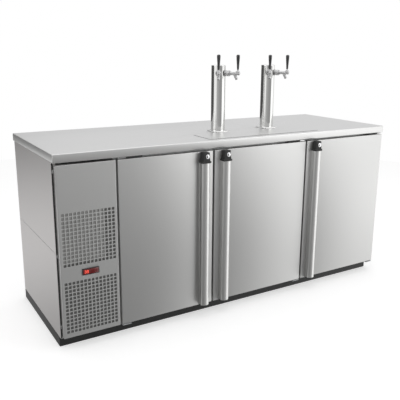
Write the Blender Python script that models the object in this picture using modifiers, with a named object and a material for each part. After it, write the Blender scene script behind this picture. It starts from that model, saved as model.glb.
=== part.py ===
"""Direct-draw beer cooler with three doors, two beer towers and a side machine bay.

The object stands on the floor plane z = 0, with its origin under the middle of the worktop.
+X runs along the worktop, the doors face -Y, +Z is up, and every length is in metres.
"""

import math

import bmesh
import bpy
from mathutils import Matrix, Vector

# Overall size
LENGTH = 2.000
DEPTH = 0.705
HEIGHT = 0.920
WORKTOP_THICKNESS = 0.039
WORKTOP_EDGE_ROUNDING = 0.004
BASE_HEIGHT = 0.0517

# Gaps and cutting
SEAT_GAP = 0.0003
SLIP_FIT = 0.0005
OVERRUN = 0.010

# Body behind and under the worktop
BODY_SIDE_INSET = 0.003
BODY_FRONT_INSET = 0.037
BODY_REAR_INSET = 0.016
BASE_FRONT_INSET = 0.0605
WALL = 0.046
FLOOR_THICKNESS = 0.045
CEILING_THICKNESS = 0.047
SHEET = 0.002
POST_WIDTH = 0.070
POST_DEPTH = 0.050
PARTITION_COVER = 0.0085
SIDE_SEAM_HEIGHT = 0.465
SIDE_SEAM_GAP = 0.0012
SIDE_FLANGE = 0.020

# Front layout
BAY_WIDTH = 0.2895
NARROW_DOOR_WIDTH = 0.504
DOOR_GAP = 0.010
DOOR_END_INSET = 0.0035
DOOR_FRONT_INSET = 0.003
DOOR_THICKNESS = 0.028
DOOR_BOTTOM_GAP = 0.0125
DOOR_TOP_GAP = 0.0105
DOOR_EDGE_ROUNDING = 0.002
PLUG_CLEARANCE = 0.0045
PLUG_DEPTH = 0.024
GASKET_INSET = 0.012
GASKET_WIDTH = 0.018

# Door hinges
HINGE_AXIS_INSET = 0.012
HINGE_AXIS_DEPTH = 0.015
HINGE_PIN_RADIUS = 0.004
HINGE_PIN_LENGTH = 0.015
HINGE_PIN_CLEARANCE = 0.0006
HINGE_PLATE_CLEARANCE = 0.003
HINGE_END_MARGIN = 0.010
TOP_PLATE_THICKNESS = 0.006
TOP_PLATE_LENGTH = 0.120
BOTTOM_PLATE_THICKNESS = 0.005
BOTTOM_PLATE_LENGTH = 0.045

# Door handles and locks
HANDLE_INSET = 0.033
HANDLE_WIDTH = 0.046
HANDLE_DEPTH = 0.037
HANDLE_FOOT = 0.006
HANDLE_LIP = 0.020
HANDLE_GROOVE_DEPTH = 0.018
HANDLE_END_MARGIN = 0.002
FRONT_ARC_STEPS = 12
LOCK_HOUSING_HEIGHT = 0.054
LOCK_HOUSING_TOP_WIDTH = 0.034
LOCK_HOUSING_FOOT_WIDTH = 0.042
LOCK_FLANGE_WIDTH = 0.050
LOCK_FLANGE_HEIGHT = 0.010
LOCK_FLANGE_LEDGE = 0.002
LOCK_HOUSING_DEPTH = 0.034
LOCK_RADIUS = 0.010
LOCK_OFFSET = 0.004
LOCK_RISE = 0.0335
LOCK_DEPTH = 0.020
LOCK_FACE_RADIUS = 0.0115
LOCK_FACE_THICKNESS = 0.002
KEY_SLOT_LENGTH = 0.009
KEY_SLOT_WIDTH = 0.002
KEY_SLOT_DEPTH = 0.004

# Machine bay front panel
PANEL_SIDE_INSET = 0.0105
GRILLE_COUNT = 14
GRILLE_HOLE = 0.0125
GRILLE_SIDE_MARGIN = 0.01375
LOWER_FIELD_MARGIN = 0.0225
FIELD_GAP = 0.0755
CONTROLLER_WIDTH = 0.080
CONTROLLER_HEIGHT = 0.030
CONTROLLER_BEZEL = 0.004
CONTROLLER_BODY_WIDTH = 0.070
CONTROLLER_BODY_HEIGHT = 0.023
CONTROLLER_BODY_DEPTH = 0.045
CONTROLLER_SCREEN_MARGIN = 0.004
CONTROLLER_SCREEN_DEPTH = 0.001

# Rear vents of the machine bay
VENT_ROWS = 12
VENT_COLUMNS = 2
VENT_LENGTH = 0.090
VENT_HEIGHT = 0.008
VENT_ROW_PITCH = 0.024
VENT_COLUMN_PITCH = 0.115

# Drip tray, in a window of the worktop
TRAY_CENTRE = 1.1575
TRAY_FRONT = 0.035
TRAY_LENGTH = 0.714
TRAY_WIDTH = 0.175
TRAY_LIP = 0.008
TRAY_LIP_THICKNESS = 0.0012
TRAY_DEPTH = 0.024
TRAY_SHEET = 0.0015
DRAIN_RADIUS = 0.010
DRAIN_BORE = 0.008
DRAIN_LENGTH = 0.060
GRATE_CLEARANCE = 0.001
GRATE_DROP = 0.0025
GRATE_SHEET = 0.002
SLOT_PITCH = 0.014
SLOT_WIDTH = 0.005
SLOT_MARGIN = 0.009
SLOT_SHORTEST = 0.020

# Beer towers
TOWER_SPACING = 0.331
TOWER_SETBACK = 0.267
TOWER_RADIUS = 0.038
TOWER_WALL = 0.002
TOWER_HEIGHT = 0.353
TOWER_FLANGE = 0.092
TOWER_FLANGE_THICKNESS = 0.004
TOWER_FLANGE_ROUNDING = 0.0015
TOWER_CAP_THICKNESS = 0.005
TOWER_CAP_PLUG = 0.010
TOWER_CAP_ROUNDING = 0.002
LINE_HOLE_RADIUS = 0.032

# Faucets
FAUCET_ANGLE = math.radians(32.5)
FAUCET_DROP = 0.041
SHANK_RADIUS = 0.011
SHANK_HOLE_CLEARANCE = 0.0004
SHANK_TAIL = 0.007
INNER_NUT_RADIUS = 0.012
INNER_NUT_LENGTH = 0.007
COLLAR_RADIUS = 0.017
COLLAR_THICKNESS = 0.004
COUPLING_RADIUS = 0.015
COUPLING_LENGTH = 0.0237
BODY_RADIUS = 0.0085
BODY_LENGTH = 0.0577
NOSE_LENGTH = 0.006
LEVER_SETBACK = 0.012
BONNET_RADIUS = 0.011
BONNET_BOTTOM = -0.003
BONNET_TOP = 0.0125
SOCKET_RADIUS = 0.0075
SOCKET_FLOOR = 0.0035
SPOUT_SETBACK = 0.032
SPOUT_TIP_SETBACK = 0.018
SPOUT_DROP = 0.031
SPOUT_RADIUS = 0.0062
SPOUT_BORE = 0.0042
SPOUT_BORE_SHARE = 0.6
BALL_RISE = 0.011
BALL_RADIUS = 0.007
STEM_RADIUS = 0.0032
KNOB_START = 0.009
KNOB_LENGTH = 0.077
KNOB_FOOT_RADIUS = 0.0055
KNOB_TOP_RADIUS = 0.0094
KNOB_DOME = 0.005
ROUND_ARC_STEPS = 4

# Refrigeration
COMPRESSOR_RADIUS = 0.074
COMPRESSOR_HEIGHT = 0.165
COMPRESSOR_DOME = 0.030
COMPRESSOR_PLATE = 0.190
COMPRESSOR_PLATE_THICKNESS = 0.004
COMPRESSOR_SETBACK = 0.470
CONDENSER_WIDTH = 0.220
CONDENSER_HEIGHT = 0.250
CONDENSER_DEPTH = 0.045
CONDENSER_SETBACK = 0.060
CONDENSER_END_PLATE = 0.0015
CONDENSER_END_MARGIN = 0.006
FAN_FRAME_THICKNESS = 0.002
FAN_RING_DEPTH = 0.030
FAN_RING_WALL = 0.002
FAN_TIP_CLEARANCE = 0.004
CONDENSER_FAN_RADIUS = 0.088
MOTOR_RADIUS = 0.028
MOTOR_LENGTH = 0.036
MOTOR_ARM_WIDTH = 0.012
MOTOR_ARM_THICKNESS = 0.004
MOTOR_ARM_SETBACK = 0.002
MOTOR_FACE_LEAD = 0.001
MOTOR_ARMS = 3
FAN_HUB_RADIUS = 0.025
FAN_HUB_LENGTH = 0.020
FAN_BLADES = 5
BLADE_THICKNESS = 0.003
BLADE_CHORD = 0.046
BLADE_ROOT_SHARE = 0.5
BLADE_ROOT_DEPTH = 0.004
BLADE_PITCH = math.radians(22)
SHAFT_RADIUS = 0.003
SHAFT_LENGTH = 0.012
SHAFT_CLEARANCE = 0.0005
EVAPORATOR_THICKNESS = 0.110
EVAPORATOR_LENGTH = 0.400
EVAPORATOR_HEIGHT = 0.250
EVAPORATOR_TOP_GAP = 0.004
EVAPORATOR_ROUNDING = 0.004
EVAPORATOR_POCKET_DEPTH = 0.050
EVAPORATOR_FAN_RADIUS = 0.075
EVAPORATOR_MOTOR_LENGTH = 0.022

# Sides on round pieces
FINE_SIDES = 40
ROUND_SIDES = 20
SMALL_SIDES = 12
SHARP_ANGLE = math.radians(35)
MERGE_DISTANCE = 0.00001
UP = Vector((0.0, 0.0, 1.0))

# Planes that the sizes above give
LEFT = -LENGTH / 2
FRONT = -DEPTH / 2
WORKTOP_BOTTOM = HEIGHT - WORKTOP_THICKNESS
BODY_LEFT = LEFT + BODY_SIDE_INSET
BODY_RIGHT = -BODY_LEFT
BODY_FRONT = FRONT + BODY_FRONT_INSET
BODY_REAR = -FRONT - BODY_REAR_INSET
BODY_BOTTOM = BASE_HEIGHT + SEAT_GAP
BODY_TOP = WORKTOP_BOTTOM - SEAT_GAP
FLOOR_TOP = BODY_BOTTOM + FLOOR_THICKNESS
CEILING_BOTTOM = BODY_TOP - CEILING_THICKNESS
REAR_WALL_FRONT = BODY_REAR - WALL
RIGHT_WALL_LEFT = BODY_RIGHT - WALL
PARTITION_LEFT = LEFT + BAY_WIDTH - PARTITION_COVER
PARTITION_RIGHT = PARTITION_LEFT + WALL
DOOR_FRONT = FRONT + DOOR_FRONT_INSET
DOOR_BACK = DOOR_FRONT + DOOR_THICKNESS
DOOR_BOTTOM = BASE_HEIGHT + DOOR_BOTTOM_GAP
DOOR_TOP = WORKTOP_BOTTOM - DOOR_TOP_GAP
DOOR_1_LEFT = LEFT + BAY_WIDTH + DOOR_GAP / 2
DOOR_1_RIGHT = DOOR_1_LEFT + NARROW_DOOR_WIDTH
DOOR_2_LEFT = DOOR_1_RIGHT + DOOR_GAP
DOOR_3_RIGHT = -LEFT - DOOR_END_INSET
WIDE_DOOR_WIDTH = (DOOR_3_RIGHT - DOOR_2_LEFT - DOOR_GAP) / 2
DOOR_2_RIGHT = DOOR_2_LEFT + WIDE_DOOR_WIDTH
DOOR_3_LEFT = DOOR_2_RIGHT + DOOR_GAP
PLUG_INSET = DOOR_3_RIGHT - RIGHT_WALL_LEFT + PLUG_CLEARANCE
HINGE_AXIS_Y = DOOR_FRONT + HINGE_AXIS_DEPTH
BAY_CENTRE = LEFT + BAY_WIDTH / 2
TRAY_X = LEFT + TRAY_CENTRE
TRAY_Y = FRONT + TRAY_FRONT + TRAY_WIDTH / 2
TOWER_Y = FRONT + TOWER_SETBACK
FAUCET_Z = HEIGHT + TOWER_HEIGHT - FAUCET_DROP
TOWER_BORE = TOWER_RADIUS - TOWER_WALL

# Reaches of the faucet's pieces, outwards from the tower's centre line
INNER_NUT_SEAT = math.sqrt(TOWER_BORE**2 - INNER_NUT_RADIUS**2) - SEAT_GAP
SHANK_START = INNER_NUT_SEAT - INNER_NUT_LENGTH - SHANK_TAIL
COLLAR_SEAT = TOWER_RADIUS + SEAT_GAP
COUPLING_START = COLLAR_SEAT + COLLAR_THICKNESS
COUPLING_END = COUPLING_START + COUPLING_LENGTH
BODY_START = COUPLING_END + SEAT_GAP
BODY_END = BODY_START + BODY_LENGTH
LEVER_REACH = BODY_END - LEVER_SETBACK
SPOUT_REACH = BODY_END - SPOUT_SETBACK
SPOUT_TIP_REACH = BODY_END - SPOUT_TIP_SETBACK

# Colour, roughness and metallic value of each finish
FINISHES = {
    "satin_steel": ((0.60, 0.60, 0.59), 0.32, 1.0),
    "polished_steel": ((0.72, 0.72, 0.71), 0.12, 1.0),
    "galvanised_steel": ((0.46, 0.47, 0.48), 0.48, 1.0),
    "satin_aluminium": ((0.70, 0.70, 0.69), 0.30, 1.0),
    "black_paint": ((0.025, 0.025, 0.027), 0.50, 0.0),
    "black_plastic": ((0.030, 0.030, 0.032), 0.42, 0.0),
    "black_rubber": ((0.035, 0.035, 0.036), 0.75, 0.0),
    "copper_and_fins": ((0.62, 0.52, 0.45), 0.45, 1.0),
    "white_liner": ((0.78, 0.79, 0.79), 0.45, 0.0),
}


def new_collection(name):
    """Make a collection in the scene."""
    collection = bpy.data.collections.new(name)
    bpy.context.scene.collection.children.link(collection)
    return collection


def make_materials():
    """Make one Principled material for each finish."""
    for name, (colour, roughness, metallic) in FINISHES.items():
        material = bpy.data.materials.new(name)
        material.use_nodes = True
        material.diffuse_color = (*colour, 1.0)
        shader = material.node_tree.nodes["Principled BSDF"]
        shader.inputs["Base Color"].default_value = (*colour, 1.0)
        shader.inputs["Roughness"].default_value = roughness
        shader.inputs["Metallic"].default_value = metallic


def finish_object(name, shape, finish, centre):
    """Turn a bmesh made round the origin into an object at a centre.

    With no finish the object is a helper, which cuts or joins and is never rendered.
    """
    mesh = bpy.data.meshes.new(name)
    bmesh.ops.recalc_face_normals(shape, faces=shape.faces)
    shape.to_mesh(mesh)
    shape.free()
    mesh.shade_smooth()
    mesh.set_sharp_from_angle(angle=SHARP_ANGLE)
    made = bpy.data.objects.new(name, mesh)
    made.location = centre
    if finish is None:
        bpy.data.collections["helpers"].objects.link(made)
        made.hide_render = True
        made.display_type = "WIRE"
    else:
        bpy.data.collections["beer_cooler"].objects.link(made)
        mesh.materials.append(bpy.data.materials[finish])
    return made


def round_edges(made, width, segments=2):
    """Round an object's edges with a Bevel modifier."""
    bevel = made.modifiers.new("rounded edges", "BEVEL")
    bevel.width = width
    bevel.segments = segments
    bevel.limit_method = "ANGLE"
    return made


def block(name, low, high, finish=None):
    """Make a box between two corners."""
    low = Vector(low)
    high = Vector(high)
    shape = bmesh.new()
    bmesh.ops.create_cube(shape, size=1.0)
    bmesh.ops.scale(shape, vec=high - low, verts=shape.verts)
    return finish_object(name, shape, finish, (low + high) / 2)


def rod(name, start, end, radius, finish=None, sides=ROUND_SIDES, end_radius=None):
    """Make a round bar, or a cone, from one point to another."""
    start = Vector(start)
    end = Vector(end)
    along = end - start
    shape = bmesh.new()
    bmesh.ops.create_cone(
        shape,
        cap_ends=True,
        segments=sides,
        radius1=radius,
        radius2=radius if end_radius is None else end_radius,
        depth=along.length,
    )
    turn = UP.rotation_difference(along).to_matrix()
    bmesh.ops.rotate(shape, cent=(0.0, 0.0, 0.0), matrix=turn, verts=shape.verts)
    return finish_object(name, shape, finish, (start + end) / 2)


def turned(name, profile, base, along, finish=None, sides=ROUND_SIDES):
    """Turn a profile about the line that leaves a base point in one direction.

    Each point of the profile gives the way along the line and the radius there.
    """
    shape = bmesh.new()
    points = [shape.verts.new((radius, 0.0, distance)) for distance, radius in reversed(profile)]
    for upper, lower in zip(points, points[1:]):
        shape.edges.new((upper, lower))
    made = finish_object(name, shape, finish, base)
    made.rotation_mode = "QUATERNION"
    made.rotation_quaternion = UP.rotation_difference(along)
    screw = made.modifiers.new("turned", "SCREW")
    screw.steps = sides
    screw.render_steps = sides
    screw.use_merge_vertices = True
    screw.merge_threshold = MERGE_DISTANCE
    return made


def outline(name, points, length, centre, finish):
    """Make a bar of one section: a closed flat curve, extruded along Z both ways from its centre."""
    curve = bpy.data.curves.new(name, "CURVE")
    curve.dimensions = "2D"
    curve.fill_mode = "BOTH"
    curve.extrude = length / 2
    spline = curve.splines.new("POLY")
    spline.points.add(len(points) - 1)
    for point, (x, y) in zip(spline.points, points):
        point.co = (x, y, 0.0, 1.0)
    spline.use_cyclic_u = True
    curve.materials.append(bpy.data.materials[finish])
    made = bpy.data.objects.new(name, curve)
    made.location = centre
    bpy.data.collections["beer_cooler"].objects.link(made)
    return made


def boolean(made, helper, operation):
    """Cut a helper out of an object, or join it on."""
    modifier = made.modifiers.new(helper.name, "BOOLEAN")
    modifier.operation = operation
    modifier.object = helper
    return made


def cut(made, helper):
    """Cut a helper's shape out of an object."""
    return boolean(made, helper, "DIFFERENCE")


def join(made, helper):
    """Join a helper's shape to an object."""
    return boolean(made, helper, "UNION")


def joint_axis(name, place):
    """Make the empty that stands on a joint's axis."""
    empty = bpy.data.objects.new(name, None)
    empty.location = place
    empty.matrix_basis = Matrix.Translation(place)
    bpy.data.collections["beer_cooler"].objects.link(empty)
    return empty


def hang_on(empty, pieces):
    """Parent pieces to a joint's empty and leave them where they are."""
    for piece in pieces:
        piece.parent = empty
        piece.matrix_parent_inverse = empty.matrix_basis.inverted()


def build_base_and_walls():
    """Build the plinth and the insulated slabs of the keg room."""
    block(
        "base_plinth",
        (BODY_LEFT, FRONT + BASE_FRONT_INSET, 0.0),
        (BODY_RIGHT, BODY_REAR, BASE_HEIGHT),
        "black_paint",
    )
    block(
        "cabinet_floor",
        (BODY_LEFT + SHEET + SEAT_GAP, BODY_FRONT, BODY_BOTTOM),
        (RIGHT_WALL_LEFT - SEAT_GAP, REAR_WALL_FRONT - SEAT_GAP, FLOOR_TOP),
        "satin_steel",
    )
    block(
        "right_wall",
        (RIGHT_WALL_LEFT, BODY_FRONT, BODY_BOTTOM),
        (BODY_RIGHT, REAR_WALL_FRONT - SEAT_GAP, BODY_TOP),
        "satin_steel",
    )
    block(
        "rear_wall",
        (PARTITION_LEFT, REAR_WALL_FRONT, BODY_BOTTOM),
        (BODY_RIGHT, BODY_REAR, BODY_TOP),
        "galvanised_steel",
    )
    block(
        "partition_wall",
        (PARTITION_LEFT, BODY_FRONT, FLOOR_TOP + SEAT_GAP),
        (PARTITION_RIGHT, REAR_WALL_FRONT - SEAT_GAP, BODY_TOP),
        "satin_steel",
    )
    ceiling = block(
        "keg_room_ceiling",
        (PARTITION_RIGHT + SEAT_GAP, BODY_FRONT, CEILING_BOTTOM),
        (RIGHT_WALL_LEFT - SEAT_GAP, REAR_WALL_FRONT - SEAT_GAP, BODY_TOP),
        "satin_steel",
    )
    for number, x in enumerate(tower_centres(), start=1):
        cut(ceiling, line_hole(f"ceiling_line_hole_{number}", x))
    drain_hole = rod(
        "ceiling_drain_hole",
        (TRAY_X, TRAY_Y, CEILING_BOTTOM - OVERRUN),
        (TRAY_X, TRAY_Y, BODY_TOP + OVERRUN),
        DRAIN_RADIUS + GRATE_CLEARANCE,
    )
    cut(ceiling, drain_hole)
    gap_centres = (DOOR_1_RIGHT + DOOR_GAP / 2, DOOR_2_RIGHT + DOOR_GAP / 2)
    for number, x in enumerate(gap_centres, start=1):
        block(
            f"door_post_{number}",
            (x - POST_WIDTH / 2, BODY_FRONT, FLOOR_TOP + SEAT_GAP),
            (x + POST_WIDTH / 2, BODY_FRONT + POST_DEPTH, CEILING_BOTTOM - SEAT_GAP),
            "satin_steel",
        )


def tower_centres():
    """Give the X places of the two towers."""
    return (TRAY_X - TOWER_SPACING / 2, TRAY_X + TOWER_SPACING / 2)


def line_hole(name, x):
    """Make the cutter of the hole that a tower's beer lines come up through."""
    return rod(
        name,
        (x, TOWER_Y, CEILING_BOTTOM - OVERRUN),
        (x, TOWER_Y, HEIGHT + OVERRUN),
        LINE_HOLE_RADIUS,
    )


def build_side_panels():
    """Build the two sheets on the machine bay's side, each with a flange behind the front panel."""
    seam_low = SIDE_SEAM_HEIGHT - SIDE_SEAM_GAP / 2
    seam_high = SIDE_SEAM_HEIGHT + SIDE_SEAM_GAP / 2
    spans = {
        "side_panel_lower": (BODY_BOTTOM, FLOOR_TOP + SEAT_GAP, seam_low),
        "side_panel_upper": (seam_high, seam_high, BODY_TOP),
    }
    for name, (bottom, flange_bottom, top) in spans.items():
        sheet = block(
            name,
            (BODY_LEFT, BODY_FRONT, bottom),
            (BODY_LEFT + SHEET, BODY_REAR, top),
            "satin_steel",
        )
        flange = block(
            f"{name}_flange",
            (BODY_LEFT, BODY_FRONT, flange_bottom),
            (BODY_LEFT + SIDE_FLANGE, BODY_FRONT + SHEET, top),
        )
        join(sheet, flange)


def build_bay_rear_panel():
    """Build the vented sheet that closes the machine bay at the back."""
    left = BODY_LEFT + SHEET + SEAT_GAP
    right = PARTITION_LEFT - SEAT_GAP
    panel = block(
        "machine_bay_rear_panel",
        (left, BODY_REAR - SHEET, BODY_BOTTOM),
        (right, BODY_REAR, BODY_TOP),
        "galvanised_steel",
    )
    middle = Vector(((left + right) / 2, BODY_REAR, (BODY_BOTTOM + BODY_TOP) / 2))
    size = (VENT_LENGTH, SHEET + 2 * OVERRUN, VENT_HEIGHT)
    pitch = (VENT_COLUMN_PITCH, VENT_ROW_PITCH)
    cut(panel, box_grid("rear_vents", middle, size, (VENT_COLUMNS, VENT_ROWS), pitch))


def box_grid(name, middle, size, counts, pitch):
    """Make one cutter that holds a grid of boxes in the XZ plane, centred on a point."""
    shape = bmesh.new()
    columns, rows = counts
    for column in range(columns):
        for row in range(rows):
            place = Vector(
                (
                    (column - (columns - 1) / 2) * pitch[0],
                    0.0,
                    (row - (rows - 1) / 2) * pitch[1],
                )
            )
            add_box(shape, place, size)
    return finish_object(name, shape, None, middle)


def add_box(shape, place, size, turn=0.0):
    """Add a box to a bmesh, turned about Z."""
    matrix = (
        Matrix.Translation(place)
        @ Matrix.Rotation(turn, 4, "Z")
        @ Matrix.Diagonal((*size, 1.0))
    )
    bmesh.ops.create_cube(shape, size=1.0, matrix=matrix)


def build_front_panel():
    """Build the perforated pan over the machine bay and the controller that looks through it."""
    left = LEFT + PANEL_SIDE_INSET
    right = LEFT + BAY_WIDTH - DOOR_GAP / 2
    middle = (left + right) / 2
    rear = BODY_FRONT - SEAT_GAP
    panel = block(
        "front_grille_panel",
        (left, DOOR_FRONT, DOOR_BOTTOM),
        (right, rear, DOOR_TOP),
        "satin_steel",
    )
    hollow = block(
        "front_panel_hollow",
        (left + SHEET, DOOR_FRONT + SHEET, DOOR_BOTTOM + SHEET),
        (right - SHEET, rear + OVERRUN, DOOR_TOP - SHEET),
    )
    cut(panel, hollow)
    field = right - left - 2 * GRILLE_SIDE_MARGIN
    pitch = (field - GRILLE_HOLE) / (GRILLE_COUNT - 1)
    lower = DOOR_BOTTOM + LOWER_FIELD_MARGIN + field / 2
    upper = lower + field + FIELD_GAP
    hole = (GRILLE_HOLE, 2 * OVERRUN, GRILLE_HOLE)
    counts = (GRILLE_COUNT, GRILLE_COUNT)
    for name, height in (("lower", lower), ("upper", upper)):
        place = Vector((middle, DOOR_FRONT, height))
        cut(panel, box_grid(f"{name}_grille_holes", place, hole, counts, (pitch, pitch)))
    build_controller(panel, middle, (lower + upper) / 2)


def build_controller(panel, x, z):
    """Build the temperature controller and cut its window in the front panel."""
    half_body = Vector((CONTROLLER_BODY_WIDTH / 2, 0.0, CONTROLLER_BODY_HEIGHT / 2))
    half_bezel = Vector((CONTROLLER_WIDTH / 2, 0.0, CONTROLLER_HEIGHT / 2))
    fit = Vector((SLIP_FIT, 0.0, SLIP_FIT))
    window_front = Vector((x, DOOR_FRONT - OVERRUN, z))
    window_rear = Vector((x, DOOR_FRONT + OVERRUN, z))
    window = block(
        "controller_window",
        window_front - half_body - fit,
        window_rear + half_body + fit,
    )
    cut(panel, window)
    bezel_rear = Vector((x, DOOR_FRONT - SEAT_GAP, z))
    bezel_front = bezel_rear - Vector((0.0, CONTROLLER_BEZEL, 0.0))
    controller = block(
        "temperature_controller",
        bezel_front - half_bezel,
        bezel_rear + half_bezel,
        "black_plastic",
    )
    round_edges(controller, CONTROLLER_SCREEN_DEPTH)
    body_rear = bezel_front + Vector((0.0, CONTROLLER_BODY_DEPTH, 0.0))
    body_front = (bezel_front + bezel_rear) / 2
    join(controller, block("controller_body", body_front - half_body, body_rear + half_body))
    margin = Vector((CONTROLLER_SCREEN_MARGIN, 0.0, CONTROLLER_SCREEN_MARGIN))
    screen_front = bezel_front - Vector((0.0, OVERRUN, 0.0))
    screen_rear = bezel_front + Vector((0.0, CONTROLLER_SCREEN_DEPTH, 0.0))
    screen = block(
        "controller_screen_recess",
        screen_front - half_bezel + margin,
        screen_rear + half_bezel - margin,
    )
    cut(controller, screen)


def build_doors():
    """Build the three doors with what hangs on them, and the hinge brackets that carry them."""
    doors = (
        (1, DOOR_1_LEFT, DOOR_1_RIGHT, True),
        (2, DOOR_2_LEFT, DOOR_2_RIGHT, False),
        (3, DOOR_3_LEFT, DOOR_3_RIGHT, False),
    )
    for number, left, right, hinged_left in doors:
        inward = 1.0 if hinged_left else -1.0
        hinge_edge = left if hinged_left else right
        free_edge = right if hinged_left else left
        axis_x = hinge_edge + inward * HINGE_AXIS_INSET
        axis = joint_axis(f"door_{number}_hinge_axis", Vector((axis_x, HINGE_AXIS_Y, DOOR_BOTTOM)))
        handle_x = free_edge - inward * (HANDLE_INSET + HANDLE_WIDTH / 2)
        pieces = [
            build_door_panel(number, left, right, axis_x),
            build_gasket(number, left, right),
            build_handle(number, handle_x, -inward),
            *build_lock(number, handle_x),
        ]
        hang_on(axis, pieces)
        build_hinge_brackets(number, axis_x, inward)


def build_door_panel(number, left, right, axis_x):
    """Build one foamed door: the outer slab, the inner plug and the two hinge sockets."""
    panel = block(
        f"door_panel_{number}",
        (left, DOOR_FRONT, DOOR_BOTTOM),
        (right, DOOR_BACK, DOOR_TOP),
        "satin_steel",
    )
    round_edges(panel, DOOR_EDGE_ROUNDING)
    plug = block(
        f"door_{number}_plug",
        (left + PLUG_INSET, DOOR_BACK - DOOR_EDGE_ROUNDING, DOOR_BOTTOM + PLUG_INSET),
        (right - PLUG_INSET, DOOR_BACK + PLUG_DEPTH, DOOR_TOP - PLUG_INSET),
    )
    join(panel, plug)
    socket_radius = HINGE_PIN_RADIUS + HINGE_PIN_CLEARANCE
    for name, edge, side in (("top", DOOR_TOP, 1.0), ("bottom", DOOR_BOTTOM, -1.0)):
        socket = rod(
            f"door_{number}_{name}_socket",
            (axis_x, HINGE_AXIS_Y, edge - side * HINGE_PIN_LENGTH),
            (axis_x, HINGE_AXIS_Y, edge + side * OVERRUN),
            socket_radius,
            sides=SMALL_SIDES,
        )
        cut(panel, socket)
    return panel


def build_gasket(number, left, right):
    """Build the magnetic gasket, a closed ring on the back of a door."""
    low = Vector((left + GASKET_INSET, DOOR_BACK + SEAT_GAP, DOOR_BOTTOM + GASKET_INSET))
    high = Vector((right - GASKET_INSET, BODY_FRONT - SEAT_GAP, DOOR_TOP - GASKET_INSET))
    inner = Vector((GASKET_WIDTH, 0.0, GASKET_WIDTH))
    through = Vector((0.0, OVERRUN, 0.0))
    gasket = block(f"door_gasket_{number}", low, high, "black_rubber")
    cut(gasket, block(f"gasket_{number}_inside", low + inner - through, high - inner + through))
    return gasket


def handle_section(groove_side):
    """Give the handle's outline: flat on the door, round in front, with a finger groove in one side."""
    half = HANDLE_WIDTH / 2
    groove = [
        (-half, 0.0),
        (-half, HANDLE_FOOT),
        (HANDLE_GROOVE_DEPTH - half, HANDLE_FOOT),
        (HANDLE_GROOVE_DEPTH - half, HANDLE_LIP),
    ]
    crown = HANDLE_DEPTH - HANDLE_LIP
    front = []
    for step in range(FRONT_ARC_STEPS + 1):
        angle = math.pi * step / FRONT_ARC_STEPS
        front.append((-half * math.cos(angle), HANDLE_LIP + crown * math.sin(angle)))
    points = [*groove, *front, (half, 0.0)]
    return [(-groove_side * x, -y) for x, y in points]


def build_handle(number, x, groove_side):
    """Build the full-height extruded pull of one door."""
    bottom = DOOR_BOTTOM + HANDLE_END_MARGIN
    top = lock_housing_bottom() - SEAT_GAP
    centre = (x, DOOR_FRONT - SEAT_GAP, (bottom + top) / 2)
    return outline(
        f"door_handle_{number}", handle_section(groove_side), top - bottom, centre, "satin_aluminium"
    )


def lock_housing_bottom():
    """Give the height where the lock housing meets the handle."""
    return DOOR_TOP - LOCK_HOUSING_HEIGHT


def build_lock(number, x):
    """Build the lock housing over the handle and the cylinder that turns in it."""
    rear = DOOR_FRONT - SEAT_GAP
    front = rear - LOCK_HOUSING_DEPTH
    bottom = lock_housing_bottom()
    flange_front = front - LOCK_FLANGE_LEDGE
    housing = block(
        f"lock_housing_{number}",
        (x - LOCK_FLANGE_WIDTH / 2, flange_front, bottom),
        (x + LOCK_FLANGE_WIDTH / 2, rear - SLIP_FIT, bottom + LOCK_FLANGE_HEIGHT),
        "black_plastic",
    )
    round_edges(housing, LOCK_FLANGE_LEDGE)
    join(housing, lock_tower(f"lock_{number}_body", x, rear, bottom))
    lock_x = x + LOCK_OFFSET
    lock_z = bottom + LOCK_RISE
    bore = rod(
        f"lock_{number}_bore",
        (lock_x, front - OVERRUN, lock_z),
        (lock_x, front + LOCK_DEPTH + SEAT_GAP, lock_z),
        LOCK_RADIUS + SEAT_GAP,
    )
    cut(housing, bore)
    face_rear = front - SEAT_GAP
    face_front = face_rear - LOCK_FACE_THICKNESS
    cylinder = rod(
        f"lock_cylinder_{number}",
        (lock_x, face_front, lock_z),
        (lock_x, front + LOCK_DEPTH, lock_z),
        LOCK_RADIUS,
        "polished_steel",
    )
    face = rod(
        f"lock_{number}_face",
        (lock_x, face_front, lock_z),
        (lock_x, face_rear, lock_z),
        LOCK_FACE_RADIUS,
    )
    join(cylinder, face)
    slot = block(
        f"lock_{number}_key_slot",
        (lock_x - KEY_SLOT_WIDTH / 2, face_front - OVERRUN, lock_z - KEY_SLOT_LENGTH / 2),
        (lock_x + KEY_SLOT_WIDTH / 2, face_front + KEY_SLOT_DEPTH, lock_z + KEY_SLOT_LENGTH / 2),
    )
    cut(cylinder, slot)
    return housing, cylinder


def lock_tower(name, x, rear, bottom):
    """Make the upper part of a lock housing, which narrows towards its top."""
    height = LOCK_HOUSING_HEIGHT - LOCK_FLANGE_HEIGHT / 2
    size = (LOCK_HOUSING_FOOT_WIDTH, LOCK_HOUSING_DEPTH, height)
    shape = bmesh.new()
    bmesh.ops.create_cube(shape, size=1.0)
    bmesh.ops.scale(shape, vec=size, verts=shape.verts)
    narrowing = LOCK_HOUSING_TOP_WIDTH / LOCK_HOUSING_FOOT_WIDTH
    top = [vert for vert in shape.verts if vert.co.z > 0]
    bmesh.ops.scale(shape, vec=(narrowing, 1.0, 1.0), verts=top)
    centre = (x, rear - LOCK_HOUSING_DEPTH / 2, bottom + LOCK_HOUSING_HEIGHT - height / 2)
    return finish_object(name, shape, None, centre)


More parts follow.
